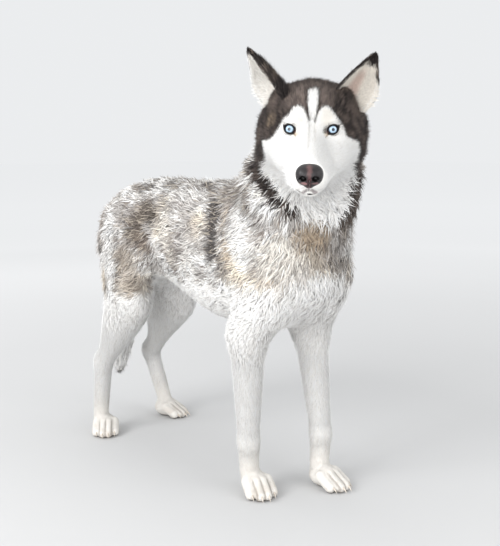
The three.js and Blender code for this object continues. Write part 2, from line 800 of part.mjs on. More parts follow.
let headSolid = headCore();
for (const side of [1, -1]) headSolid = headSolid.add(ball(eyeCentre(side), EYE_RADIUS + 2));
for (const side of [1, -1]) {
  headSolid = headSolid
    .subtract(ball(eyeCentre(side), EYE_RADIUS + GAP))
    .subtract(lidOpening(side));
}
headSolid = headSolid.subtract(mouth());
addNode("head", toWorld(headSolid).intersect(headCut.block(-GAP / 2)), GREY);

const body = bodyCore();
addNode("torso", torso(body), GREY);
addNode("neck", neck(body), GREY);
for (const at of SIDES) {
  addNode(`front_leg_${at.word}`, foreLeg(at), WHITE);
  addNode(`hind_leg_${at.word}`, hindLeg(at), WHITE);
}
for (const paw of PAWS) {
  addNode(paw.name, pawSolid(paw), WHITE);
  for (const [name, claw] of claws(paw)) addNode(name, claw, CLAW);
}
addNode("tail", tail(), GREY);
const headClear = headCore(GAP);
for (const at of SIDES) {
  const side = at.side;
  const earSolid = solid(ear(side)).subtract(headClear);
  addNode(`ear_${at.word}`, toWorld(earSolid), DARK);
  addNode(`eye_${at.word}`, toWorld(ball(eyeCentre(side), EYE_RADIUS)), ICE);
}
addNode("nose", toWorld(nose().subtract(nostril(1)).subtract(nostril(-1)).subtract(headClear)), LEATHER);

// The row's origin is on the floor, under the middle of the husky's box.
const box = new THREE.Box3().setFromObject(husky);
const middle = box.getCenter(new THREE.Vector3());
for (const mesh of husky.children) mesh.geometry.translate(-middle.x, -middle.y, -box.min.z);

export default husky;
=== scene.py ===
import math

import bmesh
import bpy
import numpy as np
import openvdb
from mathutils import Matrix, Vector


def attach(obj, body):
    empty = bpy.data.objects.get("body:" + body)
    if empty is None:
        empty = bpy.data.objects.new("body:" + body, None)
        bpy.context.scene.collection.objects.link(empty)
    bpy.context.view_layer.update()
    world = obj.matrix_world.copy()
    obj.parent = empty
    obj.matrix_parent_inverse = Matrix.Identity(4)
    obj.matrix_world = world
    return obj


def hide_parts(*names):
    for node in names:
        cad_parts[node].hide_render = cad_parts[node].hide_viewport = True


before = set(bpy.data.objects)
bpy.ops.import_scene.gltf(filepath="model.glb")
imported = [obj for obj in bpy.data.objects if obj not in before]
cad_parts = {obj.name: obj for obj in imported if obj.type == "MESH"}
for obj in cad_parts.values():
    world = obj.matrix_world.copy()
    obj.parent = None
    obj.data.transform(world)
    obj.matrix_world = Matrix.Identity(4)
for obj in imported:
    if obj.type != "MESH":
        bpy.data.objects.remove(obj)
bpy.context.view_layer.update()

# Driving dimensions, the same as those of the solids.
WITHERS = 572
CROUP = 560
CHEST_WIDTH = 214
CHEST_BOTTOM = 296
CHEST_FRONT = -338
BELLY_TUCK = 346
RUMP_BACK = 298
TAIL_TIP = 104
EYE_SPACING = 61
EYE_RADIUS = 11.0

LEFT = {
    "word": "left",
    "side": 1,
    "shoulder": [62, -286, 396],
    "elbow": [72, -226, 294],
    "wrist": [66, -262, 96],
    "front_paw": [61, -286, 0],
    "front_turn": 2,
    "hip": [48, 200, 452],
    "stifle": [80, 216, 290],
    "hock": [84, 328, 146],
    "hind_paw": [90, 262, 0],
    "hind_turn": 24,
}
RIGHT = {
    "word": "right",
    "side": -1,
    "shoulder": [-64, -286, 396],
    "elbow": [-76, -216, 294],
    "wrist": [-67, -208, 96],
    "front_paw": [-62, -226, 0],
    "front_turn": -22,
    "hip": [-48, 196, 452],
    "stifle": [-80, 156, 312],
    "hock": [-92, 254, 158],
    "hind_paw": [-92, 250, 0],
    "hind_turn": -34,
}
SIDES = [LEFT, RIGHT]
HEAD = {"origin": [-126, -422, 654], "yaw": -46, "pitch": 20, "roll": 0.8}


# Small helpers.


def unit(v):
    return v / np.maximum(np.linalg.norm(v, axis=-1, keepdims=True), 1e-9)


def ramp(value, start, end):
    """0 at start, 1 at end, smooth between; start may be above end."""
    t = np.clip((value - start) / (end - start), 0, 1)
    return t * t * (3 - 2 * t)


def mix(a, b, t):
    return a + (b - a) * t


def column(values):
    return np.asarray(values)[:, None]


def paint(colours, other, share):
    """Rows of colours, mixed towards another colour by a share for each row."""
    return mix(colours, other, column(share))


def turn_about(axis, degrees):
    """The matrix of a turn about X, Y or Z, given as 0, 1 or 2."""
    c, s = math.cos(math.radians(degrees)), math.sin(math.radians(degrees))
    a, b = (axis + 1) % 3, (axis + 2) % 3
    matrix = np.eye(3)
    matrix[a, a] = matrix[b, b] = c
    matrix[a, b], matrix[b, a] = -s, s
    return matrix


X, Y, Z = 0, 1, 2


class Place:
    """A frame of its own: turned about Z, then pitched about X, then rolled about Y."""

    def __init__(self, origin, yaw, pitch=0.0, roll=0.0):
        self.turn = turn_about(Z, yaw) @ turn_about(X, pitch) @ turn_about(Y, roll)
        self.origin = np.array(origin, float)

    def out(self, p):
        return np.asarray(p, float) @ self.turn.T + self.origin

    def into(self, p):
        return (np.asarray(p, float) - self.origin) @ self.turn

    def turned(self, d):
        return np.asarray(d, float) @ self.turn.T


head = Place(**HEAD)


# Forms: functions that give the distance of points from a surface, negative inside.


def ellipsoid(centre, radii, tilt=0.0):
    """An ellipsoid, tilted about X."""
    c, s = math.cos(math.radians(tilt)), math.sin(math.radians(tilt))
    centre, radii = np.array(centre, float), np.array(radii, float)

    def form(p):
        d = p - centre
        q = np.stack([d[:, 0], c * d[:, 1] + s * d[:, 2], c * d[:, 2] - s * d[:, 1]], 1)
        near = np.linalg.norm(q / radii, axis=1)
        slope = np.linalg.norm(q / radii**2, axis=1)
        return near * (near - 1) / np.maximum(slope, 1e-9)

    return form


def limb(start, start_radius, end, end_radius, flat=1.0):
    """A round bar that tapers between two balls, squeezed sideways where flat is below 1."""
    squeeze = np.array([flat, 1, 1])
    a, b = np.array(start) / squeeze, np.array(end) / squeeze
    span = b - a
    long = span @ span

    def form(p):
        d = p / squeeze - a
        t = np.clip(d @ span / long, 0, 1)
        away = np.linalg.norm(d - t[:, None] * span, axis=1)
        return (away - mix(start_radius, end_radius, t)) * min(1, flat)

    return form


def soft_min(a, b, width):
    """The lesser of two values, rounded where they are within a width of each other."""
    h = np.maximum(width - np.abs(a - b), 0) / width
    return np.minimum(a, b) - h * h * width / 4


def fuse(*parts):
    """Joins forms, each given with the softness of its joint."""

    def form(p):
        d = np.full(len(p), 1e6)
        for part, soft in parts:
            d = soft_min(d, part(p), soft)
        return d

    return form


def both(make):
    """The same thing on the left and on the right."""
    return [make(1), make(-1)]


def slope_of(form, p, step=0.5):
    """A form's value at points, and its slope there."""
    here = form(p)
    return here, np.stack([(form(p + step * axis) - here) / step for axis in np.eye(3)], 1)


def settle(form, p, level=0.0, rounds=3):
    """Moves points to where a form has the given value."""
    for _ in range(rounds):
        here, slope = slope_of(form, p)
        p = p + slope * column((level - here) / np.maximum(0.2, (slope**2).sum(1)))
    return p


# The trunk and the legs.

rib_top = WITHERS - 14
rib_middle, rib_half = (rib_top + CHEST_BOTTOM) / 2, (rib_top - CHEST_BOTTOM) / 2
loin_middle, loin_half = (CROUP + BELLY_TUCK) / 2 + 2, (CROUP - BELLY_TUCK) / 2 - 4
trunk = fuse(
    (ellipsoid([0, -130, rib_middle], [CHEST_WIDTH / 2, 200, rib_half], -3), 1),
    (ellipsoid([0, CHEST_FRONT + 106, 420], [80, 106, 110]), 40),
    (ellipsoid([0, -205, WITHERS - 88], [62, 105, 88]), 40),
    (ellipsoid([0, 70, loin_middle], [92, 150, loin_half]), 60),
    (limb([0, 60, CROUP - 64], 60, [0, -150, WITHERS - 66], 64), 40),
    (ellipsoid([0, 165, CROUP - 92], [86, 112, 92], -14), 50),
    (ellipsoid([0, RUMP_BACK - 72, CROUP - 132], [72, 66, 88], -8), 40),
)


def fore_limb(at):
    pastern = [at["front_paw"][0], at["front_paw"][1] + 22, 40]
    back_of_elbow = [at["elbow"][0], at["elbow"][1] + 18, at["elbow"][2] + 12]
    return fuse(
        (ellipsoid([at["side"] * 67, -228, 424], [41, 68, 108], -18), 1),
        (limb(at["shoulder"], 38, at["elbow"], 34), 40),
        (limb(at["elbow"], 33, at["wrist"], 20), 30),
        (ellipsoid(back_of_elbow, [23, 28, 30]), 16),
        (limb(at["wrist"], 20, pastern, 19), 12),
    )


def hind_limb(at):
    heel = [at["hind_paw"][0], at["hind_paw"][1] + 20, 36]
    buttock = [at["side"] * 50, RUMP_BACK - 74, 400]
    calf = [at["side"] * 74, mix(at["stifle"][1], at["hock"][1], 0.6), 262]
    back_of_hock = [at["hock"][0], at["hock"][1] + 10, at["hock"][2] + 8]
    return fuse(
        (limb(at["hip"], 84, at["stifle"], 44, 0.64), 1),
        (limb(buttock, 70, calf, 38, 0.64), 50),
        (limb(at["stifle"], 42, at["hock"], 21, 0.84), 36),
        (ellipsoid(back_of_hock, [12, 14, 20]), 16),
        (limb(at["hock"], 21, heel, 18, 0.92), 10),
    )


# Half a toe's width is a paw's width over this.
TOE_SHARE = 8.6


def toe_places(width, length):
    """Where a paw's four toes are, as x and the y of their fronts."""
    for place in (-3, -1, 1, 3):
        inset = 0.13 * length if abs(place) == 3 else 0
        yield place * width / TOE_SHARE, -0.42 * length + inset


def paw_form(width, length):
    toes = [
        (limb([x * 0.92, front + 26, 24], 11.5, [x, front, 9.5], 10.5), 4)
        for x, front in toe_places(width, length)
    ]
    return fuse((ellipsoid([0, 8, 19], [width * 0.45, length * 0.36, 20.5]), 1), *toes)


PAWS = []
for at in SIDES:
    for which, wide, long in (("front", 60, 88), ("hind", 56, 84)):
        PAWS.append(
            {
                "name": f"{which}_paw_{at['word']}",
                "wide": wide,
                "long": long,
                "place": Place(at[f"{which}_paw"], at[f"{which}_turn"]),
                "form": paw_form(wide, long),
            }
        )


def paw_flesh(p):
    return np.min([paw["form"](paw["place"].into(p)) for paw in PAWS], axis=0)


# The head, in its own frame: midway between the eyes, nose towards -Y.

skull = fuse(
    (ellipsoid([0, 54, 6], [62, 60, 52]), 1),
    *both(lambda s: (ellipsoid([s * 42, 54, 28], [26, 30, 26]), 18)),
    (ellipsoid([0, 20, 22], [44, 34, 28]), 22),
    *both(lambda s: (ellipsoid([s * 26, 0, 17], [18, 14, 10]), 10)),
    *both(lambda s: (ellipsoid([s * 36, 6, -12], [20, 19, 13]), 14)),
    *both(lambda s: (ellipsoid([s * 47, 42, -20], [32, 42, 38]), 26)),
    *both(lambda s: (ellipsoid([s * 54, 74, -34], [37, 40, 52]), 30)),
    (limb([0, 4, -26], 33, [0, -72, -41], 23), 26),
    (limb([0, 6, -8], 16, [0, -70, -27], 12), 12),
    *both(lambda s: (limb([s * 12, -76, -50], 13, [s * 22, -10, -54], 20), 20)),
    *both(lambda s: (ellipsoid([s * 36, 16, -42], [24, 34, 26]), 24)),
    (limb([0, -66, -67], 12, [0, 16, -66], 28), 16),
    (ellipsoid([0, 56, -58], [54, 48, 46]), 30),
)

NAPE = head.out([0, 94, -22])
neck_flesh = fuse(
    (limb([0, -232, 474], 98, [-22, -300, 566], 90, 0.94), 1),
    (limb([-22, -300, 566], 90, NAPE, 70), 40),
    (limb([0, -180, 506], 60, [-8, -262, 560], 66), 40),
    (ellipsoid([-6, -288, 470], [80, 64, 88], 20), 40),
)
fore_limbs = [fore_limb(at) for at in SIDES]
hind_limbs = [hind_limb(at) for at in SIDES]
flesh = fuse(
    (trunk, 1),
    *[(form, 44) for form in fore_limbs],
    *[(form, 44) for form in hind_limbs],
    (paw_flesh, 10),
    (neck_flesh, 50),
    (lambda p: skull(head.into(p)), 30),
)

# The tail, as rows of y, z and the radius out to the tips of its hair.
TAIL = [
    [226, 508, 20],
    [280, 494, 23],
    [318, 440, 26],
    [330, 350, 33],
    [331, 260, 38],
    [332, 180, 34],
    [334, TAIL_TIP + 34, 21],
    [336, TAIL_TIP + 9, 9],
]


def tail_form(share):
    spans = zip(TAIL, TAIL[1:])
    return fuse(
        *[
            (limb([0, y0, z0], share * r0, [0, y1, z1], share * r1), 6)
            for (y0, z0, r0), (y1, z1, r1) in spans
        ]
    )


tail_outside = tail_form(1.0)
TAIL_BONE_SHARE = 0.42
tail_skin = tail_form(TAIL_BONE_SHARE)


# Depths of the coat in mm: on the head from the nose backwards, and on the rest of the dog by height.
HEAD_DEPTHS = ([-80, -20, 20, 60, 100], [1.1, 1.8, 3.4, 7, 13])
BODY_DEPTHS = ([0, 50, 150, 240, 300, 390], [1.3, 1.6, 2.2, 3.2, 5.5, 14])
CHEEK_DEPTH = 5
RUFF_DEPTH = 5


def coat_depth(p):
    """How deep the coat is, from the skin out to its tips."""
    q = head.into(p)
    x, y, _ = q.T
    on_head = np.interp(y, *HEAD_DEPTHS)
    on_cheek = ramp(np.abs(x), 40, 70) * ramp(y, 20, 60) * CHEEK_DEPTH
    on_leg = np.interp(p[:, 2], *BODY_DEPTHS)
    ruff = RUFF_DEPTH * np.clip(1 - np.abs(neck_flesh(p)) / 40, 0, 1)
    head_share = 1 - ramp(skull(q), 0, 34)
    return mix(on_leg + ruff * ramp(p[:, 2], 390, 470), on_head + on_cheek, head_share)


# The eyes: each has its own frame, across the almond of the lids, up, and out along its look.


LID_SLANT, FACE_LEAN, LOOK_OUT = 17, 72, 13


def eye_place(side):
    place = Place([side * EYE_SPACING / 2, -2, 2], 0)
    place.turn = turn_about(Z, side * LOOK_OUT) @ turn_about(X, FACE_LEAN) @ turn_about(Z, side * LID_SLANT)
    return place


EYES = {at["side"]: eye_place(at["side"]) for at in SIDES}
# Half the width of the almond between the lids, and how far they open up and down.
LID_HALF, LID_RISE, LID_FALL = 8.6, 5.6, 5.0


def lid_edge(side, turns):
    """The almond between the lids, at angles measured from its outer corner, over the top."""
    high = np.sin(turns)
    lean = 0.16 * LID_HALF * high**2
    y = np.where(high > 0, LID_RISE, -LID_FALL) * np.abs(high) ** 1.25
    return np.stack([side * (LID_HALF * np.cos(turns) - np.sign(high) * lean), y], 1)


def lid_reach(side, xy):
    """About how far a point in an eye's frame is outside the almond, as a share of its size."""
    tall = np.where(xy[:, 1] > 0, LID_RISE, LID_FALL)
    return np.hypot(side * xy[:, 0] / LID_HALF, xy[:, 1] / tall) - 1


def rim_reach(side, xy):
    """How far a point in an eye's frame is outside the black round the lids, with its pointed corners."""
    x, y = xy[:, 0] * side, xy[:, 1]
    oval = 8 * (np.hypot(x / 10.2, (y - 0.2) / 8.0) - 1)
    outer_corner = np.abs(y - 0.3 * (x - 8)) - np.interp(x, [8, 15.5], [4.0, -0.3]) + 9 * (x < 7)
    inner_corner = np.abs(y - 0.6 * (x + 6) + 1) - np.interp(-x, [7, 14.5], [3.8, -0.3]) + 9 * (x > -6)
    return np.minimum(oval, np.minimum(outer_corner, inner_corner))


MOUTH_STEPS = 9


def mouth_path():
    """The line of the lips on one side, from the middle of the front to the corner."""
    points = []
    for i in range(MOUTH_STEPS):
        t = i / (MOUTH_STEPS - 1)
        turn = math.radians(min(90, 200 * t))
        y = mix(-70, -28, max(0, (t - 0.45) / 0.55))
        z = -68.5 - 1.5 * math.sin(math.pi * t) + 8 * t * t
        way = np.array([math.sin(turn), -math.cos(turn), -0.1])
        reach = np.linspace(0, 60, 121)
        line = np.array([0, y, z]) + reach[:, None] * way
        points.append(line[np.argmax(skull(line) > 0)])
    return points


def line_form(points):
    """The distance from a line through points."""
    return fuse(*[(limb(a, 0, b, 0), 0.5) for a, b in zip(points, points[1:])])


MOUTH = mouth_path()
mouth_lines = both(lambda s: line_form([point * np.array([s, 1, 1]) for point in MOUTH]))


def mouth_reach(q):
    """The distance from the line of the lips."""
    return np.minimum(mouth_lines[0](q), mouth_lines[1](q))


def mouth_opening(q):
    """Less than 1 in the small triangle in the middle of the lips where they part, which is painted dark as
    shade.
    """
    x, y, z = q.T
    wide = np.interp(z, [-71, -66.5], [6.5, 3])
    off = np.maximum(np.abs(x) / wide, np.abs(z + 69) / 2.4)
    return np.where(y < -70, off, 9)


def skin(p):
    """The form of the skin: the flesh less the coat's depth, with the fine forms of the face."""
    d = flesh(p) + coat_depth(p)
    q = head.into(p)
    near = skull(q) < 60
    if near.any():
        n = q[near]
        face = d[near]
        # Lips: a groove, with a soft swelling above it.
        groove = mouth_reach(n)
        face = face - 1.3 * np.exp(-(((groove - 5) / 3.5) ** 2)) + 2.6 * np.exp(-((groove / 1.5) ** 2))
        # A shallow furrow up the forehead, and one under each eye towards the cheek.
        furrow = np.abs(n[:, 0]) + 8 * ramp(n[:, 2], 12, -4) + 0.6 * np.maximum(0, n[:, 2] - 44)
        face = face + 1.6 * np.exp(-((furrow / 6) ** 2)) * ramp(n[:, 1], 40, 0)
        for side, eye in EYES.items():
            e = eye.into(n)
            socket = EYE_RADIUS + 1.0 - np.linalg.norm(e, axis=1)
            opening = 5 * (0.22 - lid_reach(side, e[:, :2]))
            face = np.maximum(face, np.maximum(socket, np.minimum(opening, e[:, 2] - 2)))
            # The brow's fold over the upper lid.
            fold = np.hypot(lid_reach(side, e[:, :2]) - 0.85, 0.06) * 6
            face = face + 0.8 * np.exp(-(fold**2)) * ramp(e[:, 2], 2, 6) * (e[:, 1] > 0)
        d[near] = face
    return np.minimum(d, soft_min(d, tail_skin(p), 12))


# Meshing a form: a grid of its values, refined near the surface.


def mesh_of(form, low, high, step, coarse=3):
    """Points and quads of a form within a box."""
    low = np.array(low, float)
    count = np.ceil((np.array(high) - low) / (step * coarse)).astype(int) + 1
    axes = [low[k] + step * coarse * np.arange(count[k]) for k in range(3)]
    rough = form(np.stack(np.meshgrid(*axes, indexing="ij"), -1).reshape(-1, 3)).reshape(count)
    values = rough.repeat(coarse, 0).repeat(coarse, 1).repeat(coarse, 2)
    close = np.argwhere(np.abs(values) < 2.2 * step * coarse)
    # A coarse value stands for the block of cells that it starts.
    values[tuple(close.T)] = form(low + step * close)
    grid = openvdb.FloatGrid(float(step * coarse * 4))
    grid.copyFromArray(values.astype(np.float32))
    points, quads = grid.convertToQuads(0.0)
    return low + step * points.astype(float), quads.astype(np.int64)


def to_scene(p):
    return (np.asarray(p) + SHIFT) / 1000


def sphere_centre(name):
    """The middle of the ball that a node's points lie on."""
    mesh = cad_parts[name].data
    points = np.empty(3 * len(mesh.vertices))
    mesh.vertices.foreach_get("co", points)
    points = 1000 * points.reshape(-1, 3)
    for _ in range(2):
        rows = np.hstack([2 * points, np.ones((len(points), 1))])
        centre = np.linalg.lstsq(rows, (points**2).sum(1), rcond=None)[0][:3]
        # The middle of the ball's flat back is left out of the second fit.
        away = np.linalg.norm(points - centre, axis=1)
        points = points[away > 0.8 * away.max()]
    return centre


# From the dog's own frame to the middle of the solids' box.
SHIFT = sphere_centre("eye_left") - head.out(EYES[LEFT["side"]].origin)


# Noise and draws, the same on every run.

rng = np.random.default_rng(7)
# Large primes that turn the cells of the noise's grid into numbers with no pattern.
CELL_PRIMES = np.array([73856093, 19349663, 83492791])
SEED_PRIME, MIXING_PRIME, LOW_BITS = 2654435761, 1274126177, 65535


def noise(p, size, seed=0):
    """Smooth noise between 0 and 1, with features of the given size."""
    q = np.asarray(p) / size + 57.3 * seed
    cell = np.floor(q).astype(np.int64)
    t = q - cell
    t = t * t * (3 - 2 * t)
    total = np.zeros(len(q))
    for corner in np.ndindex(2, 2, 2):
        c = cell + corner
        mixed = np.bitwise_xor.reduce(c * CELL_PRIMES, axis=1) ^ (seed * SEED_PRIME)
        mixed = (mixed ^ (mixed >> 13)) * MIXING_PRIME
        value = ((mixed ^ (mixed >> 16)) & LOW_BITS) / LOW_BITS
        share = np.prod(np.where(corner, t, 1 - t), axis=1)
        total += value * share
    return total


# Markings. Colours are linear reflectances.


def rgb(*levels):
    """A colour."""
    return np.array(levels)


WHITE = rgb(0.90, 0.88, 0.85)
CREAM = rgb(0.76, 0.67, 0.55)
SILVER = rgb(0.42, 0.39, 0.37)
BROWN = rgb(0.20, 0.16, 0.13)
DARK = rgb(0.028, 0.023, 0.022)
CAP_BROWN = rgb(0.13, 0.102, 0.088)
CROWN_TONE_AND_LIGHT = rgb(0.21, 0.168, 0.148)
TAN = rgb(0.42, 0.32, 0.22)
PINK = rgb(0.52, 0.33, 0.27)
LIP = rgb(0.10, 0.075, 0.08)
NOSE_BLACK = rgb(0.016, 0.013, 0.014)
NOSE_ROSE, NOSE_ROSE_LOW = rgb(0.125, 0.066, 0.064), rgb(0.07, 0.022, 0.026)
NOSTRIL_ROSE, NOSTRIL_PAINTED_SHADE = rgb(0.30, 0.16, 0.16), rgb(0.003, 0.002, 0.002)
CLEFT_PAINTED_SHADE = rgb(0.02, 0.006, 0.008)
IRIS_SHADE, IRIS_LIGHT, IRIS_MIDDLE = rgb(0.25, 0.39, 0.54), rgb(0.56, 0.69, 0.80), rgb(0.40, 0.56, 0.71)
IRIS_RING, PUPIL_BLACK = rgb(0.025, 0.055, 0.11), rgb(0.006, 0.012, 0.035)
EYE_WHITE, EYE_BACK, EYE_EDGE_PAINTED_SHADE = rgb(0.16, 0.12, 0.11), rgb(0.5, 0.45, 0.42), rgb(0.012, 0.009, 0.009)
LID_BLACK, TEAR_DUCT = rgb(0.006, 0.005, 0.005), rgb(0.16, 0.08, 0.065)
CLAW_ROOT, CLAW_TIP = rgb(0.52, 0.44, 0.36), rgb(0.72, 0.66, 0.58)

# Half the width of the face's white mask at heights in the head's frame, on the dog's left and right.
MASK_LEFT = (
    [-190, -186, -160, -144, -125, -112, -90, -54, -24, -15, -6, 8, 22, 35, 39],
    [30, 53, 57, 60, 61, 66, 71, 76, 72, 62, 54, 49, 38, 28, 20],
)
MASK_RIGHT = (
    [-160, -148, -126, -106, -90, -70, -51, -27, -15, -6, 8, 22, 35, 39],
    [6, 21, 43, 59, 74, 79, 79, 75, 62, 54, 49, 40, 28, 20],
)
MASK_BACK = ([-178, -120, -96, -56, -28, -20, 0, 30, 60], [92, 84, 68, 38, 22, 14, 20, 30, 32])
BIB_BOTTOM = ([-40, -20, 0, 26, 52], [-130, -148, -159, -172, -178])
# Half widths of the blaze up the forehead, and of the gap between the white brows, about BLAZE_MIDDLE.
BLAZE_MIDDLE = 1.6
BLAZE = ([18, 22, 32, 42, 50, 54, 56], [3.0, 3.8, 5.2, 6.2, 6.6, 6.2, 3.0])
BROW_INNER = ([18, 22, 32, 37, 39, 40], [3.8, 6.2, 10.5, 14, 20, 30])
# How wide the dark strip beside the mask is, on the dog's left and right.
STRIP_LEFT = ([-215, -186, -160, -139, -110, -60], [14, 24, 28, 32, 36, 46])
STRIP_RIGHT = ([-165, -149, -130, -110, -90, -60], [12, 20, 30, 32, 34, 46])
# The height above which the coat is grey, from the chest backwards.
GREY_EDGE = ([-300, -200, -60, 60, 130, 260], [388, 388, 386, 358, 322, 300])


def white_mask(q):
    """How far a point of the head is inside the white of the face, in mm."""
    x, y, z = q.T
    wide = np.where(x > 0, np.interp(z, *MASK_LEFT), np.interp(z, *MASK_RIGHT))
    inside = np.minimum(np.minimum(wide - np.abs(x), 39 - z), z - np.interp(x, *BIB_BOTTOM))
    across = np.abs(x - BLAZE_MIDDLE)
    blaze = np.interp(z, *BLAZE) - across
    wedge = np.minimum(across - np.interp(z, *BLAZE), np.interp(z, *BROW_INNER) - across)
    inside = np.where(z > 18, np.minimum(inside, -wedge), inside)
    inside = np.where(z > 18, np.maximum(inside, np.minimum(blaze, 56 - z)), inside)
    return np.minimum(inside, np.interp(z, *MASK_BACK) - y)


# Blotches of the body, painted in this order: form, softness, colour, strength.
BLOTS = [
    (limb([-105, 203, 480], 22, [-114, 195, 330], 20), 20, WHITE, 0.8),
    (limb([-85, 30, 505], 13, [-96, -10, 405], 15), 16, mix(CREAM, WHITE, 0.5), 0.9),
    (limb([-75, -31, 525], 16, [-98, -76, 460], 16), 22, SILVER, 0.7),
    (limb([-72, -104, 540], 12, [-82, -128, 524], 14), 14, SILVER * 0.5, 0.8),
    (limb([-80, -130, 524], 17, [-106, -152, 446], 19), 16, mix(DARK, SILVER, 0.12), 0.96),
    (ellipsoid([-112, -176, 424], [15, 14, 16]), 12, mix(DARK, SILVER, 0.25), 0.85),
    (limb([-94, -180, 530], 8, [-115, -204, 430], 8), 10, mix(TAN, CREAM, 0.4), 0.8),
    (limb([-114, -200, 420], 5, [-110, -198, 385], 4), 8, BROWN, 0.8),
    (limb([-102, -228, 520], 15, [-113, -256, 440], 18), 16, WHITE, 0.8),
    (ellipsoid([-89, 84, 500], [30, 30, 28]), 20, BROWN * 0.5, 0.92),
    (ellipsoid([-99, 114, 466], [30, 32, 30]), 20, BROWN * 0.55, 0.92),
    (ellipsoid([-97, 92, 438], [26, 24, 20]), 14, BROWN, 0.8),
    (limb([-104, 148, 408], 24, [-109, 124, 344], 28), 22, mix(BROWN, CREAM, 0.35), 0.75),
    (limb([-100, -62, 450], 15, [-102, -82, 376], 20), 18, mix(CREAM, WHITE, 0.8), 0.75),
    (limb([-62, -352, 430], 8, [-18, -358, 438], 9), 12, BROWN, 0.55),
    (limb([-108, 112, 404], 3, [-111, 100, 350], 5), 6, CREAM, 0.7),
    (limb([-112, 168, 404], 5, [-114, 160, 336], 5), 6, BROWN * 0.6, 0.85),
    (ellipsoid([-54, 128, 552], [14, 16, 14]), 12, DARK * 2, 0.85),
    (ellipsoid([-34, 68, 560], [12, 12, 12]), 10, DARK * 2, 0.8),
    (limb([-34, -40, 562], 12, [-46, -78, 556], 13), 12, DARK * 2, 0.85),
    (limb([-62, -165, 574], 11, [-78, -190, 550], 11), 12, DARK * 2, 0.85),
    (limb([-76, -150, 556], 5, [-90, -214, 540], 6), 8, mix(DARK, SILVER, 0.3), 0.8),
    (limb([-88, -236, 566], 6, [-100, -250, 530], 7), 8, mix(DARK, SILVER, 0.3), 0.6),
    (limb([-24, -8, 566], 6, [-40, 8, 560], 7), 8, mix(DARK, SILVER, 0.2), 0.7),
    (limb([-108, -257, 560], 6, [-107, -278, 503], 6), 8, BROWN * 0.7, 0.85),
    (ellipsoid([-92, -312, 442], [44, 40, 34]), 24, mix(CREAM, WHITE, 0.55), 0.9),
    (ellipsoid([-102, -320, 488], [10, 12, 12]), 8, BROWN, 0.7),
    (ellipsoid([-54, -356, 486], [32, 30, 22]), 16, TAN, 0.85),
    (ellipsoid([-30, -358, 464], [12, 16, 12]), 10, BROWN, 0.8),
    (limb([-6, -376, 520], 14, [14, -366, 478], 14), 12, mix(BROWN, SILVER, 0.3), 0.8),
    (limb([-16, -356, 444], 7, [42, -340, 430], 9), 9, DARK * 2, 0.9),
    (limb([-18, -340, 410], 6, [50, -326, 400], 7), 10, BROWN, 0.75),
    (ellipsoid([-98, -307, 407], [9, 12, 8]), 8, TAN, 0.8),
    (ellipsoid([-39, -325, 391], [10, 12, 7]), 8, TAN, 0.8),
    (ellipsoid([-20, -322, 370], [70, 40, 22]), 16, WHITE, 0.7),
    (limb([88, -140, 520], 13, [108, -60, 440], 15), 18, DARK * 1.8, 0.85),
    (ellipsoid([96, 100, 490], [26, 30, 26]), 20, BROWN, 0.85),
    (ellipsoid([106, 150, 420], [24, 30, 34]), 22, mix(BROWN, TAN, 0.3), 0.85),
    (limb([100, -230, 540], 13, [112, -210, 440], 13), 16, BROWN, 0.8),
    (limb([60, -60, 556], 14, [40, 40, 562], 12), 14, DARK * 2.5, 0.7),
    (limb([92, -10, 500], 15, [100, 20, 400], 17), 18, mix(CREAM, WHITE, 0.5), 0.9),
]

# Tan streaks of the cap: middle and radii.
TAN_STREAKS = [
    ([-66, 10, 18], [10, 16, 20]),
    ([-42, 6, 52], [14, 16, 9]),
    ([48, 14, 50], [12, 16, 7]),
]


def body_colour(p, coarse, middling, fine):
    """The coat of the trunk, neck and legs, how grey and grizzled it is, and how ragged its edges are."""
    body = paint(CREAM, WHITE, ramp(coarse, 0.15, 0.5))
    body = paint(body, SILVER * 0.9, 0.8 * ramp(0.6 * middling + 0.4 * fine, 0.4, 0.62))
    body = paint(body, BROWN, 0.6 * ramp(0.5 * coarse + 0.5 * fine, 0.6, 0.76))
    saddle = ramp(p[:, 2], 525, 560) * ramp(0.5 * middling + 0.5 * fine, 0.4, 0.62)
    body = paint(body, BROWN * 0.6, 0.6 * saddle)
    ragged = 26 * (fine - 0.5) + 22 * (middling - 0.5)
    for form, soft, shade, strength in BLOTS:
        inside = ramp(form(p) + 0.6 * ragged, soft * 0.6, -soft * 0.4)
        body = paint(body, shade, strength * inside)
    # Legs, belly and the inside of the thighs are white.
    edge = np.interp(p[:, 1], *GREY_EDGE)
    inner = 60 * ramp(np.abs(p[:, 0]), 66, 30) * ramp(p[:, 2], 470, 380)
    grizzled = ramp(p[:, 2] - inner + ragged, edge - 14, edge + 12)
    return paint(WHITE, body, grizzled), grizzled, ragged


def cap_colour(q, inside):
    """The dark hair round the white mask, with streaks of tan and a lighter crown, partly its own tone and
    partly painted light.
    """
    streaks = noise(q * [1, 0.4, 0.3], 3.2, 5)
    x, y, z = q.T
    cap = paint(DARK, CAP_BROWN, 0.8 * ramp(streaks, 0.25, 0.85))
    # The crown is lighter partly in its own tone and partly as painted light: lightest on top, and leaning
    # to the dog's right, the side the key light falls on.
    crown = ramp(np.abs(x + 10), 54, 22) * ramp(z, 22, 44) * ramp(y, 70, 30)
    cap = paint(cap, CROWN_TONE_AND_LIGHT, crown * mix(0.45, 0.85, streaks))
    tan_share = ramp(np.min([ellipsoid(*spot)(q) for spot in TAN_STREAKS], axis=0), 3, -5)
    cap = paint(cap, TAN * 0.6, 0.75 * tan_share * ramp(streaks, 0.35, 0.6))
    cap = paint(cap, DARK, ramp(inside, -8, -2) * 0.75 * (1 - tan_share))
    return paint(cap, mix(DARK, BROWN, 0.5), ramp(z, -140, -190))


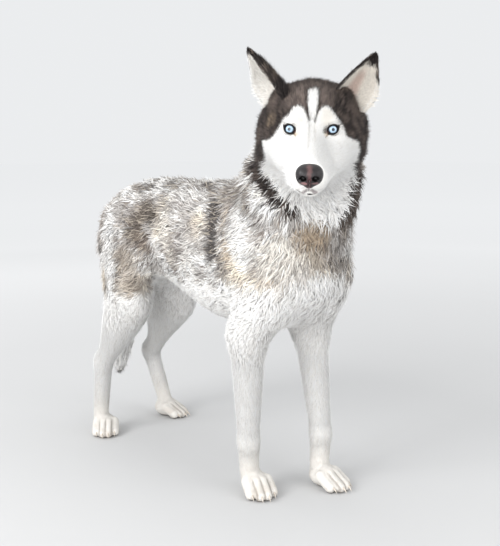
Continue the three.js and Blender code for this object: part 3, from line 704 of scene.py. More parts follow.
def head_share(p, q, inside, low, ragged):
    """How far the head's own colours reach: its cap and mask, the strips beside the cheeks, and the bib."""
    x, y, z = q.T
    strip = np.where(x > 0, np.interp(z, *STRIP_LEFT), np.interp(z, *STRIP_RIGHT))
    away = ramp(-inside, strip - 4, strip + 6)
    behind = ramp(np.linalg.norm(q - [0, 60, 0], axis=1) + ragged, 96, 150) * ramp(y, 0, 40)
    share = (1 - np.maximum(away * low, behind)) * ramp(p[:, 2], 500, 540)
    bare_middle = ramp(z, -120, -145) * ramp(np.abs(x - 14), 38, 28)
    strips = (1 - away) * low * (1 - bare_middle) * ramp(z, -215, -185) * (y < 150)
    return np.maximum(np.maximum(share, strips), ramp(inside, -2, 3) * low)


def paint_eyes(face, q, fine):
    """The black round the eyes, the stains below them, and brown hairs beside the left one."""
    for side, eye in EYES.items():
        e = eye.into(q)
        near = (e[:, 2] > 0) & (e[:, 2] < 30)
        face = paint(face, DARK * 0.3, near * ramp(rim_reach(side, e[:, :2]), 0.5, -0.6))
        stain = limb([-side * 12.5, -3, 9], 1.2, [-side * 14.5, -13, 6], 1)(e)
        face = paint(face, mix(TAN, CREAM, 0.3), 0.7 * ramp(stain, 5, 0))
        if side > 0:
            hairs = limb([-9, 7, 8], 1.8, [-12.5, 0.5, 8], 2.4)(e) + 2 * (fine - 0.5)
            face = paint(face, BROWN * 0.4, 0.85 * ramp(hairs, 2.0, -0.3))
    return face


def paint_lips(face, q, fine):
    """The line of the lips, painted shade where they part, smudges beside the nose, and the groove below
    it.
    """
    _, y, z = q.T
    across = np.abs(q[:, 0])
    corner = ramp(across, 15, 21) * ramp(across, 30, 25)
    strength = np.maximum(ramp(across, 12, 5), 0.6 + 0.35 * corner)
    face = paint(face, LIP * 0.7, ramp(mouth_reach(q), 2.6 + 1.6 * corner, 1.0) * strength)
    # Painted shade in the small gap where the lips part.
    face = paint(face, DARK, ramp(mouth_opening(q), 1.2, 0.8))
    for side in (1, -1):
        smudge = limb([side * 4, -91, -59], 2.0, [side * 9.5, -85, -66], 2.4)(q) + 2 * (fine - 0.5)
        face = paint(face, LIP * 1.8, 0.7 * ramp(smudge, 1.8, -0.5))
    groove = ramp(np.hypot(across, np.maximum(0, y + 78)), 1.3, 0.6)
    return paint(face, LIP, 0.8 * groove * ramp(z, -64, -60) * ramp(z, -50, -52))


def paint_furrows(face, q, fine):
    """Two thin dark lines from the blaze down between the eyes."""
    x, y, z = q.T
    off = x - BLAZE_MIDDLE
    line = np.abs(np.abs(off) - np.interp(z, [-12, 4, 20], [5.5, 4.2, 3.8]))
    faint = np.where(off < 0, 0.5, 0.28) * ramp(line, 2.0, 0.7)
    share = faint * ramp(z, -16, 8) * ramp(z, 30, 20) * ramp(y, 8, 0)
    return paint(face, SILVER * 0.5, share * (0.5 + 0.5 * fine))


def paint_paws(colour, p):
    """Dark soles, paws that are a little creamy, and painted shade in the gaps between the toes."""
    height = p[:, 2]
    colour = paint(colour, DARK * 1.6, ramp(height, 5, 2))
    colour = paint(colour, CREAM, 0.25 * ramp(height, 130, 40))
    stain = ramp(height, 34, 12) * ramp(noise(p, 14, 11), 0.5, 0.75)
    colour = paint(colour, TAN, 0.25 * stain)
    for paw in PAWS:
        x, y, z = paw["place"].into(p).T
        wide, long = paw["wide"], paw["long"]
        gap = np.min([np.abs(x - place * wide / TOE_SHARE) for place in (-2, 0, 2)], axis=0)
        close = (np.abs(x) < wide / 2) * (np.abs(y) < 0.7 * long) * ramp(z, 44, 30)
        # Painted shade in the gaps between the toes.
        between = ramp(gap, 2.4, 0.5) * close * ramp(y, -0.04 * long, -0.22 * long)
        colour = paint(colour, BROWN, 0.6 * between)
    return colour


def coat_colour(p):
    """The colour of the coat at places on the skin, and how grey and grizzled it is there."""
    q = head.into(p)
    coarse, middling, fine = noise(p, 62, 1), noise(p, 26, 2), noise(p, 11, 3)
    body, grizzled, ragged = body_colour(p, coarse, middling, fine)
    low = ramp(q[:, 2], -50, -80)
    inside = white_mask(q) + mix(4, 13, low) * (fine - 0.5)
    face = paint(cap_colour(q, inside), WHITE, ramp(inside, -2, 1.5))
    share = head_share(p, q, inside, low, ragged)
    # The brows are a little creamy.
    brows = [np.linalg.norm((q - [s * 22 + 2, -8, 24]) / [1, 2, 1.2], axis=1) for s in (1, -1)]
    brow = ramp(np.min(brows, axis=0), 16, 4) * ramp(inside, 0, 3)
    face = paint(face, mix(CREAM, WHITE, 0.3), 0.5 * brow)
    for detail in (paint_eyes, paint_lips, paint_furrows):
        face = detail(face, q, fine)
    colour = paint(body, face, share)
    # The tail is white at its tip and grey above.
    on_tail = (tail_skin(p) < 12) & (flesh(p) > -6)
    tail_tone = paint(WHITE, body, ramp(p[:, 2], 300, 400))
    tail_tone = paint(tail_tone, SILVER, 0.2 * ramp(middling, 0.5, 0.8))
    colour = np.where(column(on_tail), tail_tone, colour)
    return paint_paws(colour, p), grizzled * (1 - share)


# Which way the hair lies, as directions on the parts of the body.
LIE_ON_BACK = [0, 1, -0.42]
LIE_ON_CHEST = [0, 0.15, -1]
LIE_ON_HAUNCH = np.array([0, 0.35, -1])
LIE_ON_LEG = np.array([0, 0.12, -1])


def along_skin(way, normal):
    """A way without its part along the normal, one unit long."""
    return unit(way - column((way * normal).sum(1)) * normal)


def hair_lie(p, normal):
    q = head.into(p)
    from_nose = head.turned(unit(q - [0, -150, -22]))
    frontal = column(ramp(p[:, 1], -230, -320))
    on_body = mix(np.array(LIE_ON_BACK), np.array(LIE_ON_CHEST), frontal)
    haunch = ramp(p[:, 1], 90, 220) * ramp(p[:, 2], 500, 400)
    on_body = paint(on_body, LIE_ON_HAUNCH, haunch)
    on_body = paint(on_body, LIE_ON_LEG, ramp(p[:, 2], 350, 270))
    way = paint(unit(on_body), from_nose, ramp(np.linalg.norm(q, axis=1), 210, 120))
    for paw in PAWS:
        above = paw["place"].out([0, 22, 120])
        on_paw = ramp(paw["form"](paw["place"].into(p)), 12, 2) * ramp(p[:, 2], 60, 40)
        way = paint(way, unit(p - above), on_paw)
    return along_skin(way, normal)


# Meshes.


def new_material(name):
    """A material with its node tree and its shader."""
    made = bpy.data.materials.new(name)
    made.use_nodes = True
    return made, made.node_tree, made.node_tree.nodes["Principled BSDF"]


def add_mesh(name, points, faces, look, slot, colours=None, uv=None, shading=None):
    """One object, from points in the dog's frame and faces of the same number of corners each."""
    mesh = bpy.data.meshes.new(name)
    faces = np.asarray(faces)
    count, corners = faces.shape
    mesh.vertices.add(len(points))
    mesh.vertices.foreach_set("co", to_scene(points).ravel())
    mesh.loops.add(count * corners)
    mesh.loops.foreach_set("vertex_index", faces.ravel())
    mesh.polygons.add(count)
    mesh.polygons.foreach_set("loop_start", np.arange(count) * corners)
    mesh.polygons.foreach_set("use_smooth", np.full(count, True))
    if colours is not None:
        attribute = mesh.color_attributes.new("tone", "FLOAT_COLOR", "POINT")
        attribute.data.foreach_set("color", np.hstack([colours, np.ones((len(points), 1))]).ravel())
    if uv is not None:
        layer = mesh.uv_layers.new(name="OFBake")
        layer.data.foreach_set("uv", uv[faces.ravel()].ravel())
    mesh.update(calc_edges=True)
    if shading is not None:
        mesh.normals_split_custom_set_from_vertices(shading)
    piece = bpy.data.objects.new(name, mesh)
    bpy.context.scene.collection.objects.link(piece)
    mesh.materials.append(look)
    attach(piece, "root")
    return piece


def normals_of(points, faces):
    """Smooth normals of a mesh of triangles or of quads."""
    a, b, c = points[faces[:, 0]], points[faces[:, 1]], points[faces[:, 2]]
    if faces.shape[1] == 4:
        across = np.cross(c - a, points[faces[:, 3]] - b)
    else:
        across = np.cross(b - a, c - a)
    total = np.zeros_like(points)
    for k in range(faces.shape[1]):
        for axis in range(3):
            total[:, axis] += np.bincount(faces[:, k], across[:, axis], len(points))
    return unit(total)


def facing_out(points, faces):
    """The triangles of a closed body, turned over if they face inwards."""
    a, b, c = (points[faces[:, k]] - points.mean(0) for k in range(3))
    return faces if (a * np.cross(b, c)).sum() > 0 else faces[:, ::-1]


def halved(quads):
    """Each quad as two triangles."""
    return np.vstack([quads[:, [0, 1, 2]], quads[:, [0, 2, 3]]])


def fan(ring, hub):
    """Triangles from a closed ring of point numbers to one point."""
    return np.stack([ring, np.roll(ring, -1), np.full(len(ring), hub)], 1)


def ring_faces(rings, spokes):
    """Quads between closed rings of points."""
    turn = np.arange(spokes)
    after = (turn + 1) % spokes
    rows = np.arange(rings - 1)[:, None] * spokes
    quads = [rows + turn, rows + after, rows + spokes + after, rows + spokes + turn]
    return np.stack(quads, -1).reshape(-1, 4)


# The skin: one surface from nose to tail, made finer on the head and the paws.


def away_from_eyes(p):
    """The distance from the middle of the nearer eye."""
    q = head.into(p)
    return np.min([np.linalg.norm(q - eye.origin, axis=1) for eye in EYES.values()], axis=0)


def refine(points, faces, chosen):
    """Halves the edges of the chosen faces; faces beside them are split to match. Gives triangles."""
    bm = bmesh.new()
    verts = [bm.verts.new(p) for p in points]
    for face in faces:
        bm.faces.new([verts[i] for i in face])
    bm.faces.ensure_lookup_table()
    edges = {edge for i in np.flatnonzero(chosen) for edge in bm.faces[i].edges}
    bmesh.ops.subdivide_edges(bm, edges=list(edges), cuts=1, use_grid_fill=True)
    bmesh.ops.triangulate(bm, faces=[f for f in bm.faces if len(f.verts) > 4])
    bm.verts.index_update()
    new_points = np.array([v.co[:] for v in bm.verts])
    quads = [[v.index for v in f.verts] for f in bm.faces if len(f.verts) == 4]
    tris = [[v.index for v in f.verts] for f in bm.faces if len(f.verts) == 3]
    bm.free()
    return new_points, np.array(quads), np.array(tris)


EAR_ROOTS = {1: [52, 49, 10.0], -1: [-52, 49, 10.0]}
EAR_TIPS = {1: [94, 46, 106.0], -1: [-99, 46, 113.0]}
EAR_OPENINGS = {1: [0.3, -0.95, 0], -1: [-0.77, -0.64, 0]}
EAR_PLACES = [*(np.arange(9) / 8.4), 1]
EAR_HALF_WIDTHS = [29, 34, 36, 35, 31, 25.5, 19, 12.5, 6.5, 1]
EAR_CURL = math.radians(66)
EAR_WALL = (4.0, 1.8)


def ear_axes(side):
    """Where an ear starts and ends, and its ways: along it, across it, and out of its cup."""
    root, tip, opening = (np.array(part[side]) for part in (EAR_ROOTS, EAR_TIPS, EAR_OPENINGS))
    along = unit(tip - root)
    opening = unit(opening - (opening @ along) * along)
    return root, tip, along, np.cross(opening, along), opening


def ear_place(q, side):
    """Where a point is in an ear: its share of the way to the tip, and of the way to the outer edge."""
    root, tip, along, across, _ = ear_axes(side)
    long = np.linalg.norm(tip - root)
    t = (q - root) @ along / long
    outwards = across * np.sign(across[0] * side)
    return t, (q - root - column(t * long) * along) @ outwards / np.interp(t, EAR_PLACES, EAR_HALF_WIDTHS)


def ear_rings(side):
    """An ear is a pointed cup: each section a crescent, open towards one side."""
    root, tip, along, across, opening = ear_axes(side)
    outer, inner = np.linspace(-1, 1, 28), np.linspace(0.9, -0.9, 24)
    angles = EAR_CURL * np.concatenate([outer, inner])
    rings = []
    for t in np.linspace(0, 0.985, 34):
        half = np.interp(t, EAR_PLACES, EAR_HALF_WIDTHS) - 0.6
        radius = half / math.sin(EAR_CURL)
        hollow = max(radius - mix(*EAR_WALL, t), 0.35 * radius)
        r = np.concatenate([np.full(len(outer), radius), np.full(len(inner), hollow)])
        sideways = r * np.sin(angles)
        slide = -side * 0.42 * (1 - t) * sideways
        depth = radius * math.cos(EAR_CURL) - r * np.cos(angles)
        offset = column(sideways) * across + column(slide) * along + column(depth) * opening
        rings.append(mix(root, tip, t) + offset)
    is_inner = np.tile(np.arange(len(angles)) >= len(outer), len(rings))
    return np.concatenate(rings), len(rings), is_inner, tip


def build_ear(side):
    points, rings, is_inner, tip = ear_rings(side)
    spokes = len(points) // rings
    last_ring = (rings - 1) * spokes + np.arange(spokes)
    triangles = np.vstack([halved(ring_faces(rings, spokes)), fan(last_ring, len(points))])
    points = np.vstack([points, tip])
    return head.out(points), facing_out(points, triangles), np.append(is_inner, False)


SKIN_STEP = 4
SKIN_LOW, SKIN_HIGH = [-172, -560, -4], [172, 352, 800]
SOLE_LEVEL = 0.4


def build_skin():
    points, quads = mesh_of(skin, SKIN_LOW, SKIN_HIGH, SKIN_STEP)
    middle = points[quads].mean(1)
    q = head.into(middle)
    on_head = (skull(q) < 6) & (q[:, 1] < 66)
    on_paw = middle[:, 2] < 56
    points, quads, tris = refine(points, quads, on_head | on_paw)
    everything = np.vstack([quads, np.hstack([tris, tris[:, :1]])]) if len(tris) else quads
    middle = points[everything].mean(1)
    chosen = (away_from_eyes(middle) < 22) | (mouth_reach(head.into(middle)) < 8)
    chosen[len(quads):] = False
    faces = [list(f) for f in quads] + [list(f) for f in tris]
    points, quads, tris = refine(points, faces, chosen)
    points = settle(skin, points)
    triangles = np.vstack([halved(quads), tris])
    # The finer meshing can turn a few triangles of the head over.
    a, b, c = (points[triangles[:, k]] for k in range(3))
    across, middle = np.cross(b - a, c - a), (a + b + c) / 3
    head_faces = np.flatnonzero(skull(head.into(middle)) < 20)
    _, outwards = slope_of(skin, middle[head_faces])
    wrong = head_faces[(across[head_faces] * outwards).sum(1) < 0]
    triangles[wrong] = triangles[wrong][:, ::-1]
    points[:, 2] = np.maximum(points[:, 2], SOLE_LEVEL)
    return points, triangles


skin_points, skin_triangles = build_skin()
ears = [build_ear(at["side"]) for at in SIDES]

# All the surfaces that hair grows on, as one, with a label for each point.
SKIN, EAR_BACK, EAR_INSIDE = 0, 1, 2
points, triangles, kinds = [skin_points], [skin_triangles], [np.zeros(len(skin_points))]
for ear_points, ear_triangles, is_inner in ears:
    triangles.append(ear_triangles + sum(len(p) for p in points))
    points.append(ear_points)
    kinds.append(np.where(is_inner, EAR_INSIDE, EAR_BACK))
points, triangles, kinds = np.vstack(points), np.vstack(triangles), np.concatenate(kinds)
normals = normals_of(points, triangles)


# Ear colours: dark backs, rims and tips; cream inside, pink down the middle.

# Where the cup's dark inner edge begins, from the ear's root to its tip, as a share of its half width.
INNER_EDGE = {1: [0.7, 0.74, 0.62, 0.5], -1: [-0.05, -0.1, -0.4, -0.9]}
INNER_EDGE_PLACES = [0, 0.4, 0.8, 1]
# Where the dark tip begins, how high the back's pale edge goes, and the white and pink of the cup.
EAR_SHADES = {1: (0.72, 0.62, 0.45, 0.6), -1: (0.84, 0.9, 0.7, 0.15)}


def ear_tone(p, inside):
    q = head.into(p)
    tones = np.tile(DARK * 1.1, (len(p), 1))
    tones = paint(tones, BROWN, 0.5 * ramp(noise(p, 9, 15), 0.5, 0.8))
    ragged = 0.2 * (noise(p, 7, 13) - 0.5)
    for side, (tip_start, pale_height, whiteness, pinkness) in EAR_SHADES.items():
        t, out = ear_place(q, side)
        mine = np.sign(q[:, 0]) == side
        inner_edge = np.interp(t, INNER_EDGE_PLACES, INNER_EDGE[side])
        rim = ramp(-out + ragged, inner_edge, inner_edge + 0.1)
        rim = np.maximum(rim, ramp(t + 0.5 * ragged, tip_start, tip_start + 0.1))
        if side > 0:
            rim = np.maximum(rim, ramp(out + ragged, 0.84, 0.94) * ramp(t, 0.55, 0.66))
        middle = ramp(np.abs(out), 0.42, 0.1) * ramp(t, 0.1, 0.3) * ramp(t, 0.75, 0.5)
        cup = paint(mix(CREAM, WHITE, whiteness), PINK, pinkness * middle)
        tones = np.where(column(mine & (inside > 0.5)), paint(cup, DARK, rim), tones)
        # The outer edge of the back is white too, low down.
        pale = ramp(out + ragged, 0.62, 0.78) * ramp(t, pale_height, pale_height - 0.12)
        tones = paint(tones, WHITE, pale * (mine & (inside <= 0.5)))
    return tones


# Tufts: flat, ridged, closed blades that leave the skin, follow the lie and end in a point.

# Rows of a blade: the share of its length, and of its width. Each tuft's patch in the map is PATCH wide.
LONG = [(0.0, 0.6), (0.45, 1.0)]
SHORT = [(0.0, 1.0)]
PATCH = 0.003
ROOT_SINK = 0.4
TIP_LEVEL = 0.5


def blades(count, rows):
    """The triangles of many like tufts, each with three points to a row and a tip."""
    each = 3 * len(rows) + 1
    faces = [[0, 1, 2]]
    for r in range(len(rows) - 1):
        for k in range(3):
            a, b = 3 * r + k, 3 * r + (k + 1) % 3
            faces += [[a, a + 3, b + 3], [a, b + 3, b]]
    last = 3 * (len(rows) - 1)
    faces += [[last + k, each - 1, last + (k + 1) % 3] for k in range(3)]
    return (np.array(faces)[None] + each * np.arange(count)[:, None, None]).reshape(-1, 3)


def grow(rows, root, normal, lie, long, tall, tuck, wide, bend, pull, tone, tip_tone, edge, place, follow):
    """Points, normals, tones and map places of tufts; some follow the outside of the coat."""
    side = np.cross(normal, lie)
    start = outside(root)
    # Tuft roots are painted darker than the rest of the tuft: painted shade deep in the coat, between the
    # clumps.
    root_painted_shade = 0.72 if rows is LONG else 0.82
    points, shading, tones, uv = [], [], [], []
    leaning = unit(normal + 0.2 * lie + rng.normal(0, 0.12, normal.shape))

    def centre(t):
        flat = root + lie * column(long * t) + side * column(bend * long * t * t) + pull * t * t
        if t == 0:
            return flat - normal * ROOT_SINK
        above = tall * (1 - (1 - t) ** 2.2) - tuck * max(0, t - 0.5) * 2
        level = np.where(follow, start + above - outside(flat), above)
        return flat + normal * column(np.clip(level, -long, long))

    for t, share in rows:
        middle, half = centre(t), wide * share / 2
        ridge = column(0.4 * half + 0.1)
        points += [middle - side * column(half), middle + normal * ridge, middle + side * column(half)]
        shading += [unit(leaning - 0.45 * side), leaning, unit(leaning + 0.45 * side)]
        # Towards the root the tone is painted darker, as shade deep in the coat.
        there = mix(tone * mix(root_painted_shade, 1, t / LONG[1][0]), tip_tone, t**1.5)
        # Each tuft's ridge is painted a little lighter and its two flanks darker by a random share: painted
        # shade across the tuft.
        tones += [there * column(edge), there * 1.04, there * column(1.7 - edge)]
        uv += [place + [u, PATCH * (t - 0.5)] for u in (-PATCH / 2, 0, PATCH / 2)]
    points.append(centre(1.0))
    shading.append(leaning)
    tones.append(tip_tone)
    uv.append(place + [0, PATCH / 2])
    return (np.stack(v, 1).reshape(-1, v[0].shape[1]) for v in (points, shading, tones, uv))


def scatter(chosen, count):
    """Random places on chosen triangles, evenly over their area, with normals and the points round them."""
    corners = points[triangles[chosen]]
    across = np.cross(corners[:, 1] - corners[:, 0], corners[:, 2] - corners[:, 0])
    total = np.cumsum(np.linalg.norm(across, axis=1))
    picks = (np.arange(count) + rng.random(count)) / count * total[-1]
    index = np.minimum(np.searchsorted(total, picks), len(total) - 1)
    a, b = rng.random(count), rng.random(count)
    flip = a + b > 1
    a, b = np.where(flip, 1 - a, a), np.where(flip, 1 - b, b)
    shares = np.stack([1 - a - b, a, b], 1)
    corner_ids = triangles[chosen][index]
    place = (points[corner_ids] * shares[:, :, None]).sum(1)
    normal = unit((normals[corner_ids] * shares[:, :, None]).sum(1))
    return place, normal, corner_ids


def unwrap(p, axes):
    """Turns places round the nearest axis and along it into a square, one strip to an axis."""
    best, u, v = np.full(len(p), 1e9), np.zeros(len(p)), np.zeros(len(p))
    for k, (start, end) in enumerate(axes):
        start, end = np.array(start, float), np.array(end, float)
        along = end - start
        t = (p - start) @ along / (along @ along)
        off = p - start - column(np.clip(t, 0, 1)) * along
        across = unit(np.cross(along, [0.31, 0.95, 0.05]))
        up = unit(np.cross(along, across))
        angle = np.arctan2(off @ up, off @ across) / (2 * math.pi) + 0.5
        away = np.linalg.norm(off, axis=1)
        nearer = away < best
        best = np.where(nearer, away, best)
        u = np.where(nearer, (k + 0.02 + 0.96 * angle) / len(axes), u)
        v = np.where(nearer, 0.02 + 0.96 * np.clip(0.15 + 0.7 * t, 0, 1), v)
    return np.stack([u, v], 1)


def clumped(root, size):
    """Hair gathers towards the middle of its clump: gives the pull, and the number of each root's clump."""
    if not size:
        return np.zeros((len(root), 3)), np.arange(len(root))
    count = max(8, int(len(root) / size))
    centres = root[rng.choice(len(root), count, replace=False)]
    nearest = np.zeros(len(root), int)
    for start in range(0, len(root), 2000):
        part = root[start : start + 2000]
        nearest[start : start + 2000] = ((part[:, None] - centres[None]) ** 2).sum(2).argmin(1)
    return centres[nearest] - root, nearest


def outside(p):
    """The form of the coat's tips."""
    return np.minimum(flesh(p), tail_outside(p))


# The regions of the coat, by the form each place is on and by these bounds.
PAW_TOP, LEG_TOP = 58, 258
TAIL_FRONT, THIGH_FRONT, FACE_BACK = 250, 60, 46
middles = points[triangles].mean(1)
kind = kinds[triangles].max(1)
in_head = head.into(middles)
on_skull, on_neck, on_trunk = skull(in_head), neck_flesh(middles), trunk(middles)
on_front_leg = np.min([form(middles) for form in fore_limbs], axis=0)
on_hind_leg = np.min([form(middles) for form in hind_limbs], axis=0)
is_skin = kind == SKIN
is_tail = is_skin & (tail_skin(middles) < 1) & (middles[:, 1] > TAIL_FRONT)
ragged_height = middles[:, 2] + 24 * (noise(middles, 9, 71) - 0.5)
rest = is_skin & ~is_tail
is_paw = rest & (ragged_height < PAW_TOP)
is_leg = rest & ~is_paw & (ragged_height < LEG_TOP)
is_leg &= np.minimum(on_front_leg, on_hind_leg) < on_trunk - 4
rest &= ~is_paw & ~is_leg
is_thigh = rest & (on_hind_leg < on_trunk - 2) & (middles[:, 1] > THIGH_FRONT)
rest &= ~is_thigh
is_face = rest & (in_head[:, 1] < FACE_BACK) & (on_skull < on_neck)
is_cap = rest & ~is_face & (on_skull < on_neck + 6)
is_neck = rest & ~is_face & ~is_cap & (on_neck < on_trunk)
is_torso = rest & ~is_face & ~is_cap & ~is_neck
to_left = middles[:, 0] > 0

TRUNK_AXIS = [([0, 220, 450], [0, -300, 470])]
NECK_AXIS = [([0, -200, 470], [-60, -340, 620])]
HEAD_AXIS = [(head.out([0, 90, -20]), head.out([0, -90, -40]))]
LEG_AXES = [(at[top], at[low]) for at in SIDES for top, low in [("elbow", "wrist"), ("stifle", "hock")]]
THIGH_AXES = [(at["hip"], at["stifle"]) for at in SIDES]
PAW_AXES = [(paw["place"].out([0, 20, 60]), paw["place"].out([0, -20, 0])) for paw in PAWS]
TAIL_AXIS = [([0, TAIL[2][0], TAIL[2][1]], [0, TAIL[-1][0], TAIL[-1][1]])]
EAR_AXES = both(lambda s: (head.out([s * 52, 49, 10]), head.out([s * 96, 46, 110])))

# name, slot, where, tufts, rows, tufts to a clump, axes of the unwrap
COATS = [
    ("coat_torso_left", "coat_grey", is_torso & to_left, 19800, LONG, 14, TRUNK_AXIS),
    ("coat_torso_right", "coat_grey", is_torso & ~to_left, 19800, LONG, 14, TRUNK_AXIS),
    ("coat_neck_left", "coat_grey", is_neck & to_left, 14000, LONG, 14, NECK_AXIS),
    ("coat_neck_right", "coat_grey", is_neck & ~to_left, 19500, LONG, 14, NECK_AXIS),
    ("coat_thighs", "coat_grey", is_thigh, 19800, LONG, 14, THIGH_AXES),
    ("coat_legs", "coat_white", is_leg, 32000, SHORT, 0, LEG_AXES),
    ("coat_paws", "coat_white", is_paw, 14000, SHORT, 0, PAW_AXES),
    ("coat_tail", "coat_white", is_tail, 7000, LONG, 14, TAIL_AXIS),
    ("coat_face", "coat_white", is_face, 38000, SHORT, 0, HEAD_AXIS),
    ("coat_cap", "coat_dark", is_cap, 20000, SHORT, 0, HEAD_AXIS),
    ("coat_ear_backs", "coat_dark", kind == EAR_BACK, 10000, SHORT, 0, EAR_AXES),
    ("coat_ear_insides", "coat_white", kind == EAR_INSIDE, 5000, LONG, 0, EAR_AXES),
]


def ear_hair(q, normal, inside, long):
    """On the ears the hair runs to the tip, is shorter there, and spills over the lower outer edge."""
    tip = np.where(column(q[:, 0] > 0), EAR_TIPS[1], EAR_TIPS[-1])
    lie = head.turned(unit(tip - q + [0, 0, 20]))
    tip_share = np.max([ear_place(q, side)[0] * (np.sign(q[:, 0]) == side) for side in EAR_TIPS], axis=0)
    long = long * (1 - 0.6 * ramp(tip_share, 0.75, 1))
    for side in EAR_TIPS:
        t, out = ear_place(q, side)
        spill = (np.sign(q[:, 0]) == side) * inside * ramp(out, 0.3, 0.8) * ramp(t, 0.6, 0.4)
        lie = paint(lie, head.turned(unit(np.array([side * 1.0, -0.25, -0.15]))), spill)
        long = long * (1 + 0.5 * spill)
    return along_skin(lie, normal), long


def tuft_tones(seen, root, on_ear, inside, leggy, which, clump):
    """The tones of tufts and of their tips, with every strand a little different."""
    count = len(root)
    tone, grizzled = coat_colour(seen)
    tone = np.where(column(on_ear), ear_tone(root, inside.astype(float)), tone)
    grizzled = grizzled * ~on_ear
    pepper = ramp(noise(root, 30, 49), 0.3, 0.7)
    dark_fur = ramp(tone.mean(1), 0.3, 0.1) * (1 - grizzled)
    shade = 1 + rng.normal(0, mix(0.055, 0.11, grizzled) + 0.34 * dark_fur + 0.04 * leggy)
    if clump:
        shade = shade + 0.09 * rng.normal(0, 1, count)[which] * grizzled
    tone = np.clip(tone * column(shade), 0.008, 0.93)
    tipped = grizzled * (rng.random(count) < 0.18 + 0.3 * pepper) * rng.uniform(0.3, 0.9, count)
    tone = paint(tone, DARK * 3, 0.5 * tipped)
    tip_tone = paint(np.clip(tone * 1.1, 0, 0.93), DARK * 2, 0.8 * tipped)
    frosted = grizzled * (rng.random(count) < 0.22) * ramp(tone.mean(1), 0.42, 0.2)
    return paint(tone, CREAM * 0.8, 0.4 * frosted), paint(tip_tone, CREAM, 0.6 * frosted)


def is_bare(root, end, eye):
    """Where no hair grows: the edges of the lids, the lips, the nose and the soles."""
    over_rim = np.zeros(len(root), bool)
    for side, place in EYES.items():
        e = place.into(head.into(end))
        over_rim |= (lid_reach(side, e[:, :2]) < 0.62) & (e[:, 2] > 0) & (eye < 30)
    q = head.into(root)
    at_mouth = (mouth_opening(q) < 1.3) | (mouth_reach(q) < 1.6)
    return (eye < 12.6) | over_rim | at_mouth | (root[:, 2] < 3) | (nose_outer(q) < 0.5)


def grow_coat(name, slot, where, count, rows, clump, axes):
    root, normal, corners = scatter(where, count)
    inside = (kinds[corners] == EAR_INSIDE).all(1)
    on_ear = (kinds[corners] > SKIN).any(1)
    q = head.into(root)
    x, _, z = q.T
    # The back of the right ear is fluffy along its inner edge.
    t, out = ear_place(q, -1)
    fluff = (x < 0) * ~inside * ramp(-out, 0.1, 0.6) * ramp(t, 0.95, 0.6)
    on_ears = np.where(inside, 2.4, 1.8 + 5.5 * fluff)
    depth = np.where(on_ear, on_ears, np.clip(-outside(root), 0.9, 24))
    long = (1.9 * depth + 3.2) * rng.uniform(0.7, 1.25, count)
    lie = hair_lie(root, normal)
    if on_ear.any():
        lie, long = ear_hair(q, normal, inside, long)
    furry = ramp(depth, 3, 10)
    # The legs' hair is a little longer than it is deep; the dark strips beside the cheeks stand out.
    leggy = ramp(root[:, 2], 50, 90) * ramp(root[:, 2], 300, 240) * (tail_skin(root) > 6)
    low = np.where(x > 0, -118, -165)
    beside_cheek = ramp(z, -40, -58) * ramp(z, low, low + 25) * ~on_ear
    beside_cheek = beside_cheek * ramp(np.abs(x), 50, 62)
    long = long * (1 + 0.5 * leggy)
    pull, which = clumped(root, clump)
    swirl = 1.5 * (noise(root, 38, 41) - 0.5) * furry + 0.5 * (noise(root, 9, 43) - 0.5)
    if clump:
        swirl = swirl + rng.normal(0, 0.3, count)[which]
    swirl = swirl + rng.normal(0, mix(0.1, 0.2, furry), count)
    lie = unit(lie + np.cross(normal, lie) * column(swirl))
    level = 0.94 + 0.3 * furry * (noise(root, 17, 47) - 0.5) + rng.normal(0, 0.08, count)
    if clump:
        level = level + rng.normal(0, 0.1, count)[which]
    tall = depth * level * (1 + 0.5 * leggy + 0.3 * beside_cheek)
    proud = rng.random(count) < 0.14 + 0.3 * beside_cheek
    tuck = depth * (np.where(proud, -0.25, 0.3) if rows is LONG else np.where(proud, -0.3, 0.1))

    # A tuft's colour is that of the coat where it is seen, not of the skin at its root.
    seen = root + lie * column(0.45 * long) + normal * column(0.7 * depth)
    spread = 0.4 + (3 * ramp(skull(q), 4, 30) if clump else 0)
    seen = seen + rng.normal(0, 1, (count, 3)) * np.reshape(spread, (-1, 1))
    tone, tip_tone = tuft_tones(seen, root, on_ear, inside, leggy, which, clump)

    # Near the eyes the hair is shortest.
    eye = away_from_eyes(root)
    short = np.where(on_ear, 1, np.clip((eye - 8) / 22, 0.35, 1))
    keep = on_ear | ~is_bare(root, root + lie * column(long * short), eye)
    wide = (0.05 * long + 0.6) * mix(0.65, 1, furry) if rows is LONG else 0.05 * long + 0.45
    # edge sets how dark each tuft's flanks are painted, as painted shade across the tuft.
    bend, edge = rng.normal(0, 0.18, count), rng.uniform(0.7, 1.0, count)
    pull = pull * column(0.2 + 0.42 * furry)
    parts = (root, normal, lie, long * short, tall, tuck, wide, bend, pull, tone, tip_tone, edge)
    kept = [part[keep] for part in (*parts, unwrap(root, axes), ~on_ear)]
    made, shading, tones, uv = grow(rows, *kept)
    made[:, 2] = np.maximum(made[:, 2], TIP_LEVEL)
    add_mesh(name, made, blades(keep.sum(), rows), coat_look, slot, tones, uv, shading)


# The nose.
nose_outer = fuse(
    (ellipsoid([0, -86, -34], [18.6, 16.8, 12.8], 8), 1),
    *both(lambda s: (ellipsoid([s * 9.6, -90, -38], [9.8, 12, 12.8]), 6)),
    (ellipsoid([0, -89, -46], [9, 12, 11]), 6),
)


def nose_carved(q):
    d = nose_outer(q)
    x, y, z = q.T
    for s in (1, -1):
        hole = ellipsoid([s * 9.2, -103.5, -38.5], [5.3, 8.5, 4.6])(q)
        # The slit curls outwards and back from the hole.
        slit = limb([s * 11, -102.5, -41], 2.4, [s * 18.5, -96, -42], 1.1)(q)
        d = -soft_min(-d, soft_min(hole, slit, 2), 1.6)
    cleft = np.hypot(x, 0.6 * np.maximum(0, z + 41)) - 0.5
    front = y + 92
    return -soft_min(-d, np.maximum(cleft, front), 2.2)


